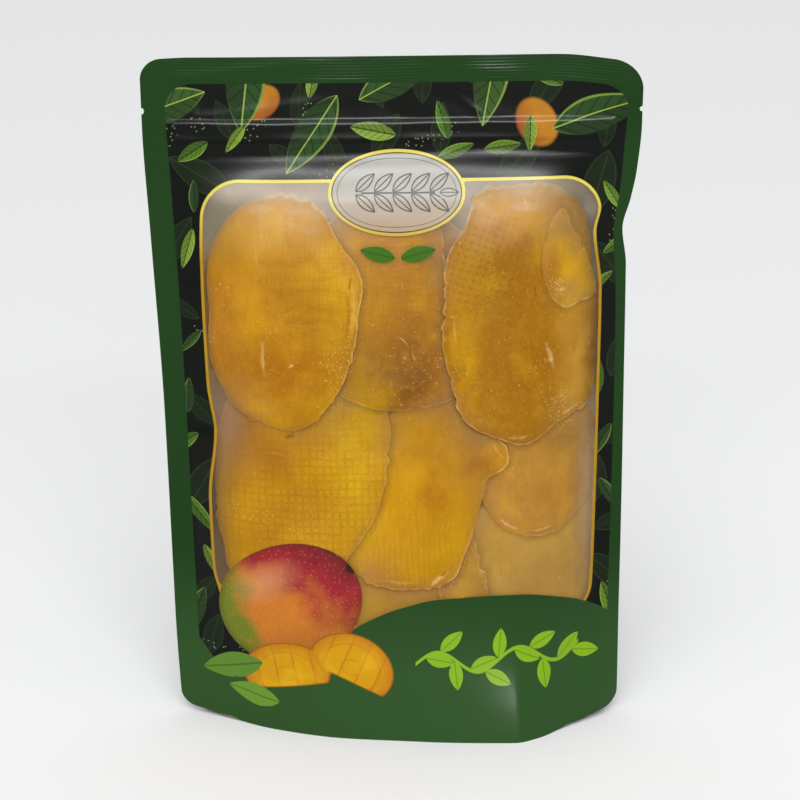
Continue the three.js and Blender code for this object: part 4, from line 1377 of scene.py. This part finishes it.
def make_front(top, film, print_material, clear_material, liner):
    """The printed front panel and the clear window in it, both from one sheet that lies on the slices."""
    flat, triangles = flat_sheet()
    leaves = front_leaves() + vine_leaves() + sprig_leaves() + picture_leaves() + WINDOW_MARK
    points, window, printed = split(flat, triangles, clear_edge(flat[:, 0], flat[:, 1]))
    pieces = []
    for name, part, materials in (("front_panel", printed, [print_material, liner]),
                                  ("window_film", window, [clear_material])):
        sheet, faces = used_points(points, part)
        x, z = sheet[:, 0], sheet[:, 1]
        gap = sample(film, x, z) - sample(top, x, z)
        # Where the film lies on a slice, its creases only stand out and don't sink in
        free = ramp(gap, 0.4, 2.4)
        slack = film_waves(x, z, seed=21) + fold_relief(FRONT_FOLDS, x, z)
        slack = np.where(slack < 0, slack * free, slack) + crimp_relief(x, z)
        in_space = front_point(x, z, sample(film, x, z) + slack)
        piece = make_piece(name, in_space, faces.tolist(), materials)
        give_sheet_map(piece, sheet)
        if name == "front_panel":
            give_print(piece, sheet, faces, leaves, front_ghosts(), True)
            thicken(piece)
        else:
            haze, tint = veil_at(x, z, gap)
            give(piece, "haze", haze)
            give(piece, "tint", tint)
        pieces.append(piece)
    return pieces


BACK_SLACK = 1.6


def make_back(print_material, liner):
    """The back panel, slacker than the front and printed with leaves all over."""
    flat, triangles = flat_sheet()
    x, z = flat[:, 0], flat[:, 1]
    slack = film_waves(x, z, seed=31) * BACK_SLACK + fold_relief(BACK_FOLDS, x, z) + crimp_relief(x, z)
    faces = triangles[:, ::-1]
    piece = make_piece("back_panel", back_point(x, z, slack), faces.tolist(), [print_material, liner])
    give_sheet_map(piece, flat)
    give_print(piece, flat, faces, back_leaves(), back_ghosts(), False)
    thicken(piece)
    return piece


GUSSET_COLUMNS = 120
GUSSET_ROWS = 36
GUSSET_INSET = 0.8
GUSSET_LIFT = 0.05
GUSSET_PRINT_HEIGHT = 2.0
SEAM_HEIGHT, SEAM_WIDTH = 4.0, 12.0
FOLD_HEIGHT, FOLD_FROM, FOLD_TO = 26.0, 0.6, 0.94
CLEAR_ABOVE = 2.4

# Where the foot is shallower than this, the seam and the fold shrink with it
FULL_FOOT = 20.0


def make_gusset(print_material, liner):
    """The bottom gusset: up from the front rim's seam, flat on the floor, and up to the back seam, with
    its fold rising at both ends."""
    share = np.linspace(-1, 1, GUSSET_COLUMNS + 1)
    side = np.where(share < 0, -1.0, 1.0)
    x = share * (half_width(side, np.zeros_like(share)) - GUSSET_INSET)
    low = np.zeros_like(x)
    front = front_depth(x, low) - 2 * FILM_THICKNESS
    back = back_depth(x, low) - 2 * FILM_THICKNESS
    room = np.minimum((front + back) / FULL_FOOT, 1.0)
    rows = []
    for t in np.linspace(0, 1, GUSSET_ROWS + 1):
        near = np.minimum(t, 1 - t) * (front + back)
        seam = SEAM_HEIGHT * room * smooth(near / 1.6) * ramp(near, SEAM_WIDTH, SEAM_WIDTH / 4)
        at_ends = ramp(np.abs(share), FOLD_FROM, FOLD_TO)
        fold = FOLD_HEIGHT * at_ends * np.sin(math.pi * t) ** 0.8 * room
        z = seam + fold
        clear = 2 * FILM_THICKNESS + CLEAR_ABOVE * smooth(z / 6.0)
        most_front = np.maximum(front_depth(x, z) - clear, 0.0)
        most_back = np.maximum(back_depth(x, z) - clear, 0.0)
        y = np.clip(mix(-front, back, t), -most_front, most_back)
        rows.append(np.stack([x, y + sway(x, z), lift(x, low) + z + GUSSET_LIFT], -1))
    points = np.array(rows).reshape(-1, 3)
    faces = grid_triangles(GUSSET_COLUMNS, GUSSET_ROWS)[:, ::-1]
    piece = make_piece("bottom_gusset", points, faces.tolist(), [print_material, liner])
    # It is printed like the lowest millimetres of the panels, plain green
    flat = np.stack([points[:, 0], np.full(len(points), GUSSET_PRINT_HEIGHT)], 1)
    give_sheet_map(piece, flat)
    give_print(piece, flat, faces, [], [], False)
    thicken(piece)
    return piece


FACE_RINGS = 34
BACK_RINGS = 10
CURL, BUMPS = 0.35, 0.06
THREAD_DEPTH, PIT_DEPTH = 0.14, 0.16
CRYSTAL_SPOTS = table("x z reach much", [
    (-16, 186, 5, 0.4),
    (-17, 173, 5, 0.5),
    (-20, 162, 5, 0.9),
    (-22, 153, 5, 0.8),
    (-24, 144, 5, 0.4),
    (-50, 168, 10, 0.06),
    (-72, 184, 5, 0.4),
    (-73, 168, 5, 0.3),
    (64, 141, 5, 0.7),
    (70, 134, 6, 0.9),
    (54, 148, 14, 0.08),
    (10, 158, 12, 0.2),
    (21, 152, 6, 0.4),
    (26, 128, 12, 0.1),
    (66, 186, 3, 0.5),
    (-56, 92, 14, 0.06),
    (20, 76, 9, 0.12),
])
TORN_SPOTS = table("x z reach much", [
    (44, 113, 9, 0.9),
    (0, 62, 22, 0.6),
    (26, 70, 9, 0.9),
    (30, 84, 8, 0.6),
    (-14, 180, 20, 0.8),
    (-19, 150, 9, 0.5),
    (21, 172, 26, 0.7),
    (76, 136, 12, 0.7),
    (52, 121, 12, 0.7),
    (74, 178, 8, 1.0),
    (50, 83, 15, 1.0),
    (-74, 176, 12, 0.4),
    (27, 134, 12, 0.7),
    (21, 200, 16, 0.5),
])


def torn_at(x, z):
    """Where a rim is frayed and pale."""
    torn = (0.2 + spots_at(TORN_SPOTS, x, z)) * (0.6 + 0.7 * ripple(x, z, 5.0, seed=97))
    return np.clip(torn, 0.0, 1.0)


def sugar_at(x, z):
    """How much sugar has come out, a little less than none away from the spots."""
    return spots_at(CRYSTAL_SPOTS, x, z) - 0.02


GRAIN_TRIES = 4200
GRAIN_CHANCE, RIM_CHANCE = 0.024, 0.04
GRAIN_CORNERS = 5


def make_sugar(material):
    """Grains of dried-out sugar, up to about a millimetre across, thickest at the rims."""
    draw = np.random.default_rng(77)
    points, faces = [], []
    for piece in SLICES[len(BACK_SLICES):]:
        low, high = piece["curve"].min(0), piece["curve"].max(0)
        for _ in range(GRAIN_TRIES):
            x, z = draw.uniform(low[0], high[0]), draw.uniform(low[1], high[1])
            x, z = np.array([x]), np.array([z])
            inside = sample(piece["depth_in"], x, z)[0]
            much = float(sugar_at(x, z)[0]) + RIM_CHANCE * math.exp(-inside / 1.5)
            if inside < 0.5 or draw.uniform() > GRAIN_CHANCE + much:
                continue
            size = draw.uniform(0.12, 0.3) * (1.6 if draw.uniform() < 0.08 else 1.0)
            face = sample(piece["back"], x, z) + slice_thickness(piece, np.array([inside]))
            base = len(points)
            turn = draw.uniform(0, math.pi)
            for k in range(GRAIN_CORNERS):
                angle = turn + 2 * math.pi * k / GRAIN_CORNERS
                reach = size * draw.uniform(0.7, 1.2)
                px, pz = x + reach * math.cos(angle), z + reach * math.sin(angle) * 1.2
                points.append(slice_point(px, pz, face - 0.05)[0])
            points.append(slice_point(x, z, face + min(0.55 * size, 0.2))[0])
            foot = [base + k for k in range(GRAIN_CORNERS)]
            faces += [[a, b, base + GRAIN_CORNERS] for a, b in zip(foot, foot[1:] + foot[:1])]
            faces.append(foot[::-1])
    return make_piece("sugar_grains", points, faces, [material])


def ring_shares(count, crowd):
    """Shares from the middle of a slice to its rim, closer together at the rim."""
    t = np.linspace(0, 1, count + 1)[1:]
    return 1 - (1 - t) ** crowd


def weave_at(piece, x, z):
    """Phases of the tray mesh in its two directions, and where it is pressed in."""
    weave = piece.get("weave")
    if weave is None:
        return np.stack([np.full(x.shape, 0.5), np.full(x.shape, 0.5), np.zeros(x.shape)], -1)
    lean = math.radians(weave["lean"])
    phases = []
    for pitch, turn in zip(weave["pitch"], (lean, lean + math.pi / 2)):
        run = x * math.cos(turn) + z * math.sin(turn) + 0.4 * ripple(x, z, 15.0, seed=51)
        phases.append(run / pitch if pitch else np.full(x.shape, 0.5))
    mx, mz = weave["middle"]
    pressed = np.exp(-((x - mx) ** 2 + (z - mz) ** 2) / weave["reach"] ** 2)
    return np.stack([*phases, pressed], -1)


def pressed_at(piece, name, weave):
    """How deeply the mesh's threads or its meeting points are pressed into a slice."""
    return piece.get("weave", {}).get(name, 0.0) * weave[:, 2]


# Riper and drier patches of the flesh that show through the film, and some painted light: shade at the
# window's right edge and the film's sheen on the tops of the upper slices
FLESH_PATCHES = table("x z reach colour much", [
    # Paler top of the upper left slice: the film's sheen over it, painted into the flesh
    (-46, 215, (24, 12), "#D4A442", 0.85),
    (-24, 180, (9, 24), "#C4960C", 0.8),
    (-70, 176, (8, 26), "#B87E2A", 0.6),
    (-69, 203, (6, 7), "#9C7426", 0.6),
    (-40, 153, (17, 12), "#9A6002", 0.85),
    (-30, 137, (12, 8), "#B8880C", 0.7),
    (-57, 138, (12, 7), "#BE9022", 0.6),
    (0, 206, (14, 12), "#AE7636", 0.5),
    (4, 151, (13, 14), "#633812", 0.88),
    (-13, 148, (8, 10), "#98740E", 0.6),
    # Paler top of the upper right slice: the film's sheen over it, painted into the flesh
    (44, 216, (18, 11), "#C6924A", 0.85),
    (66, 213, (7, 9), "#AC7E44", 0.7),
    (50, 186, (14, 20), "#8C5A06", 0.8),
    # Painted shade beside the narrow piece, down the window's right edge and under the upper right slice's
    # foot
    (80, 207, (6, 12), "#7A5424", 0.9),
    (83.5, 150, (5.5, 42), "#6A4A1A", 0.85),
    (73, 123, (10, 7), "#7E5C30", 0.7),
    (21.8, 163, (3, 16), "#7A520E", 0.6),
    (-18.5, 138, (6, 6), "#8E6414", 0.6),
    (68, 136, (6, 7), "#BC9450", 0.45),
    (19, 134, (6, 7), "#B07A10", 0.6),
    (73, 193, (7, 11), "#CCA01A", 0.85),
    (71.3, 181.5, (9, 4.5), "#A07838", 0.75),
    (71, 207, (7, 6), "#8E6C38", 0.7),
    (61, 194, (5, 15), "#9A680E", 0.9),
    (27, 158, (6, 28), "#B8860A", 0.75),
    (52, 150, (16, 14), "#905A0C", 0.7),
    (74, 154, (6, 26), "#B48836", 0.8),
    (-65, 130, (11, 17), "#A0703E", 0.85),
    (-47, 118, (12, 14), "#A66C04", 0.7),
    (-15, 116, (12, 28), "#C29C08", 0.9),
    (2, 96, (9, 32), "#BC8802", 0.9),
    (16, 108, (5, 24), "#A66E02", 0.8),
    (33, 117, (10, 14), "#986428", 0.85),
    (-12, 69, (10, 9), "#A4723E", 0.8),
    (6, 62, (24, 4), "#A4723E", 0.6),
])
THIN_FLESH = "#9E6C3A"
# Thin streaks, slits and folds, and a painted shadow beside a lip, each with the slice it is on. bend bows
# it sideways at its ends
MARKS = table("on x z half_length half_height angle bend colour much", [
    ("left_upper", -53, 159, 9.0, 1.0, 92, 0.5, "#D6AC6C", 0.5),
    ("left_upper", -55, 202, 9.0, 0.6, 96, 0.0, "#D6AE74", 0.3),
    ("left_upper", -41.2, 156, 1.7, 0.8, 24, 0.4, "#DEB46C", 0.7),
    ("left_upper", -17.4, 189, 3.8, 0.5, 80, 0.0, "#644008", 0.8),
    # Painted shadow along the lip at the right rim of the upper left slice
    ("left_upper", -18.2, 176, 13.0, 1.0, 87, -1.5, "#845408", 0.65),
    ("left_upper", -15.8, 178, 12.0, 1.8, 88, -1.0, "#D2A448", 0.7),
    ("middle_upper", 4.0, 165.5, 4.2, 0.5, -42, 0.9, "#D8AE74", 0.75),
    ("middle_upper", 7.6, 159.5, 3.0, 0.5, -76, -0.6, "#D2A668", 0.6),
    ("middle_upper", 13.0, 173, 5.0, 0.45, 74, 0.8, "#86520E", 0.5),
    ("right_upper", 57.1, 183.8, 3.4, 0.6, -84, 0.3, "#64400A", 0.65),
    ("right_upper", 63.2, 157.4, 6.4, 1.5, -74, 0.5, "#D2B07C", 0.7),
    ("right_upper", 53.4, 219, 4.6, 0.6, -78, 0.6, "#DEB480", 0.5),
    ("right_edge", 67.8, 184.4, 1.8, 0.9, 20, 0.0, "#E0C08C", 0.6),
    ("middle_lower", 17.2, 67.0, 5.0, 1.3, 42, 0.6, "#DCB078", 0.8),
    ("middle_lower", 41.6, 119.0, 5.0, 0.7, -52, -1.2, "#D0A468", 0.55),
    ("middle_lower", 36.0, 101.0, 4.0, 0.7, 76, 0.5, "#D0A060", 0.5),
    ("middle_lower", 2.0, 65.6, 9.0, 0.9, -3, -0.8, "#D0A264", 0.5),
    ("right_upper", 50.4, 124.4, 6.0, 0.9, 4, -1.0, "#D0A464", 0.55),
    ("right_upper", 71.6, 133.4, 5.0, 1.1, 26, -0.5, "#D6AE70", 0.6),
    ("right_upper", 24.4, 170.0, 8.0, 0.7, 94, 0.8, "#CE9E50", 0.5),
    ("right_middle", 46.6, 87.6, 6.5, 0.9, -34, -0.9, "#D8B078", 0.6),
    ("right_middle", 60.0, 84.6, 5.0, 0.8, 6, -0.7, "#D8B078", 0.6),
    ("middle_lower", 19.2, 69.0, 2.0, 0.7, 50, 0.0, "#56300E", 0.8),
    ("middle_foot", 34.0, 70.5, 11.0, 0.7, -73, 0.4, "#CEA45A", 0.4),
    ("left_lower", -42.5, 126.2, 2.6, 1.1, 16, 0.0, "#6C4014", 0.9),
    ("left_lower", -49, 118.6, 3.0, 0.5, -8, 0.3, "#D0A24A", 0.5),
])
# Rims that melt into the slice under them
MELTED_RIMS = table("x z reach much", [
    (61, 200, 15, 1.4),
    (-64, 138, 13, 1.4),
    (40, 92, 10, 1.4),
])
# Soft bands across the upper left slice, from the bars of its tray
TRAY_BARS = table("x z reach colour much", [
    (-38, 197 - 5.8 * k, (17, 1.6), "#986608", 0.5) for k in range(6)
])


def slice_colour(piece, x, z, inside):
    """Flesh colour shading over to its darker side at the foot of the slice, with its patches, and
    browner where the rim is thin."""
    reach = np.ptp(piece["curve"][:, 1]) / 2
    toward = 0.5 - 0.5 * (z - piece["middle"][1]) / reach + 0.3 * ripple(x, z, 30.0, seed=7)
    colour = mix(np.array(srgb(piece["flesh"])), np.array(srgb(piece["shade"])), smooth(toward)[:, None])
    wander_x, wander_z = 3.0 * ripple(x, z, 17.0, seed=8), 3.0 * ripple(x, z, 17.0, seed=9)
    for patch in FLESH_PATCHES + TRAY_BARS:
        share = patch["much"] * patch_share(patch, x + wander_x, z + wander_z)
        colour = mix(colour, np.array(srgb(patch["colour"])), share[:, None])
    thin = 1 - smooth(inside / (6.0 + 3.5 * ripple(x, z, 26.0, seed=12)))
    thin = 0.4 * thin * smooth(0.5 + 0.8 * ripple(x, z, 40.0, seed=13))
    return mix(colour, np.array(srgb(THIN_FLESH)), thin[:, None])


def melted_at(x, z):
    return np.clip(spots_at(MELTED_RIMS, x, z), 0.0, 1.0)


def rim_shadow_distance(piece, x, z):
    """Distance to the nearest rim that lies over this slice, more where that rim melts into it. The painted
    shadow beside such a rim fades with this distance.
    """
    nearest = np.full(x.shape, FAR)
    for cover in SLICES[piece["order"] + 1:]:
        nearest = np.minimum(nearest, np.abs(sample(cover["depth_in"], x, z)))
    return nearest + 2.0 * melted_at(x, z)


MARK_ROOM = 3.0


def give_marks(made, name, sheet):
    """Stores, for each face near a mark, the mark's colour and the corners' places in the mark."""
    mesh = made.data
    corner = np.empty(len(mesh.loops), int)
    mesh.loops.foreach_get("vertex_index", corner)
    counts = np.empty(len(mesh.polygons), int)
    mesh.polygons.foreach_get("loop_total", counts)
    face = np.repeat(np.arange(len(counts)), counts)
    x, z = sheet[corner, 0], sheet[corner, 1]
    middle_x, middle_z = np.bincount(face, x) / counts, np.bincount(face, z) / counts
    places = np.tile(np.array(NOWHERE), (len(corner), 1))
    inks = np.zeros((len(corner), 4))
    best = np.full(len(counts), FAR)
    for mark in [m for m in MARKS if m["on"] == name]:
        a, b = local(mark, middle_x, middle_z)
        reach_a, reach_b = 1 + MARK_ROOM / mark["half_length"], 1 + MARK_ROOM / mark["half_height"]
        chosen = (np.abs(a) < reach_a) & (np.abs(b) < reach_b) & (np.hypot(a, b) < best)
        best[chosen] = np.hypot(a, b)[chosen]
        near = chosen[face]
        a, b = local(mark, x[near], z[near])
        b = b + mark["bend"] / mark["half_height"] * a * a
        places[near] = np.stack([a, b, np.zeros(a.shape)], -1)
        inks[near] = srgb(mark["colour"])[:3] + (mark["much"],)
    give(made, "mark", places, "CORNER")
    give(made, "mark_ink", inks, "CORNER")


def ring_faces(count, rings):
    """Faces over rings of points between two middle points: triangles at both, four corners between."""
    k = np.arange(count)
    ahead = (k + 1) % count
    faces = np.stack([0 * k, 1 + k, 1 + ahead], 1).tolist()
    for ring in range(rings - 1):
        a, b = 1 + ring * count + k, 1 + ring * count + ahead
        faces += np.stack([a, a + count, b + count, b], 1).tolist()
    last = 1 + (rings - 1) * count
    return faces + np.stack([last + k, last + count + 0 * k, last + ahead], 1).tolist()


def slice_height(piece, x, z, inside, is_face, weave):
    """How high a slice's face and back lie: its rim curled, its face pressed by the tray's mesh."""
    back = sample(piece["back"], x, z)
    curl = CURL * ripple(x, z, 9.0, seed=90) * (1 - smooth(inside / 4.0))
    bumps = BUMPS * ripple(x, z, 6.0, seed=95) * smooth(inside / 3.0)
    wave = [0.5 + 0.5 * np.cos(2 * math.pi * weave[:, k]) for k in (0, 1)]
    sunk = THREAD_DEPTH * pressed_at(piece, "threads", weave) * np.maximum(wave[0], wave[1]) ** 3
    sunk = sunk + PIT_DEPTH * pressed_at(piece, "pits", weave) * (wave[0] * wave[1]) ** 2
    face = back + slice_thickness(piece, inside) + np.minimum(curl, 0) + bumps - sunk
    return np.where(is_face, face, back + np.minimum(curl, 0))


def make_slice(piece, material):
    """One slice, from the middle of its face over its rim to the middle of its back."""
    curve, middle = piece["curve"], piece["middle"]
    face_shares = ring_shares(FACE_RINGS, 1.7)
    back_shares = ring_shares(BACK_RINGS, 1.5)[::-1][1:]
    shares = [*face_shares, *back_shares]
    flat = [middle[None, :]] + [middle + (curve - middle) * share for share in shares] + [middle[None, :]]
    sheet = np.vstack(flat)
    x, z = sheet[:, 0], sheet[:, 1]
    is_face = np.arange(len(sheet)) < 1 + len(face_shares) * len(curve)
    inside = np.maximum(sample(piece["depth_in"], x, z), 0.0)
    weave = weave_at(piece, x, z)
    height = slice_height(piece, x, z, inside, is_face, weave)
    faces = ring_faces(len(curve), len(shares))
    made = make_piece("mango_slice_" + piece["name"], slice_point(x, z, height), faces, [material])
    give(made, "rim", np.where(is_face, inside, 0.0))
    give(made, "torn", torn_at(x, z) * (1 - melted_at(x, z)))
    give(made, "sugar", 0.5 * sugar_at(x, z))
    for name in ("threads", "pits"):
        give(made, name, pressed_at(piece, name, weave))
    # Where the painted shadow of the rims over this slice falls
    give(made, "rim_shadow", rim_shadow_distance(piece, x, z))
    give(made, "weave", weave)
    give(made, "flesh", slice_colour(piece, x, z, inside))
    give_marks(made, piece["name"], sheet)
    return made


# Camera, light and floor

CAMERA_PITCH = 16.5
CAMERA_ROLL = -0.65
CAMERA_DISTANCE = 1100.0
AIM_HEIGHT = 139.0
SENSOR = 36.0

# The photograph, in its pixels: its width, the focal length and where the pouch's middle is
PHOTO_WIDTH = 800.0
FOCAL_PIXELS = 2679.0
AIM_ACROSS, AIM_DOWN = 394.5, 392.6


def point_at(made, place, aim, roll=0.0):
    """Puts a camera or a light in its place and turns it to what it is aimed at."""
    place, aim = Vector(place), Vector(aim)
    turn = (aim - place).to_track_quat("-Z", "Y").to_matrix().to_4x4()
    made.matrix_world = Matrix.Translation(place) @ turn @ Matrix.Rotation(math.radians(roll), 4, "Z")


def make_camera():
    data = bpy.data.cameras.new("camera")
    data.sensor_width = SENSOR
    data.lens = FOCAL_PIXELS / PHOTO_WIDTH * SENSOR
    data.shift_x = (PHOTO_WIDTH / 2 - AIM_ACROSS) / PHOTO_WIDTH
    data.shift_y = (AIM_DOWN - PHOTO_WIDTH / 2) / PHOTO_WIDTH
    data.clip_end = 50.0
    pitch = math.radians(CAMERA_PITCH)
    aim = Vector((0, 0, AIM_HEIGHT * MM))
    away = Vector((0, -math.cos(pitch), math.sin(pitch))) * CAMERA_DISTANCE * MM
    camera = put_in_scene("camera", data)
    point_at(camera, aim + away, aim, CAMERA_ROLL)
    bpy.context.scene.camera = camera


def make_light(name, place, aim, size, power):
    """A white lamp of this size in metres and power in watts."""
    data = bpy.data.lights.new(name, "AREA")
    data.shape = "RECTANGLE"
    data.size, data.size_y = size
    data.energy = power
    light = put_in_scene(name, data)
    point_at(light, place, aim)
    return light


FLOOR_REACH = 8.0


def make_floor():
    mesh = bpy.data.meshes.new("studio_floor")
    corners = [(FLOOR_REACH * x, FLOOR_REACH * y, 0) for x, y in ((-1, -1), (1, -1), (1, 1), (-1, 1))]
    mesh.from_pydata(corners, [], [(0, 1, 2, 3)])
    material, tree = new_material("matt_paper")
    shader = add(tree, "BsdfPrincipled", {"Base Color": srgb("#EDEDED"), "Roughness": 0.9,
                                          "Specular IOR Level": 0.1})
    add(tree, "OutputMaterial", {"Surface": shader})
    mesh.materials.append(material)
    put_in_scene("studio_floor", mesh)


def make_studio():
    world = bpy.data.worlds.new("studio")
    world.use_nodes = True
    ground = world.node_tree.nodes["Background"]
    ground.inputs["Color"].default_value = srgb("#F4F5F6")
    ground.inputs["Strength"].default_value = 0.74
    bpy.context.scene.world = world
    sun = bpy.data.lights.new("even_daylight", "SUN")
    sun.energy = 0.85
    sun.angle = math.radians(38)
    put_in_scene("even_daylight", sun).rotation_euler = (math.radians(34), math.radians(-6), 0)
    make_light("front_softbox", (0.1, -2.2, 1.05), (0, 0, 0.14), (1.7, 0.8), 12.0)
    make_light("high_strip", (0.15, -1.9, 1.3), (0, 0, 0.24), (1.5, 0.18), 12.0)
    # A far thin strip that only the film's gloss shows
    sheen = make_light("sheen_strip", (0.0, -1.95, 1.04), (0, 0, 0.24), (1.7, 0.1), 62.0)
    sheen.visible_diffuse = False
    bpy.context.scene.view_settings.view_transform = "Standard"


def build():
    make_camera()
    top = settle_slices()
    film = drape_film(top)
    print_material = printed_laminate("printed_laminate")
    liner = liner_film()
    clear = window_film()
    flesh = dried_mango()
    films = make_front(top, film, print_material, clear, liner)
    films += [make_back(print_material, liner), make_gusset(print_material, liner)]
    slices = [make_slice(piece, flesh) for piece in SLICES] + [make_sugar(sugar_grain())]
    for piece in films + slices:
        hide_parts("pouch")
        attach(piece, "root")
    make_floor()
    make_studio()


build()
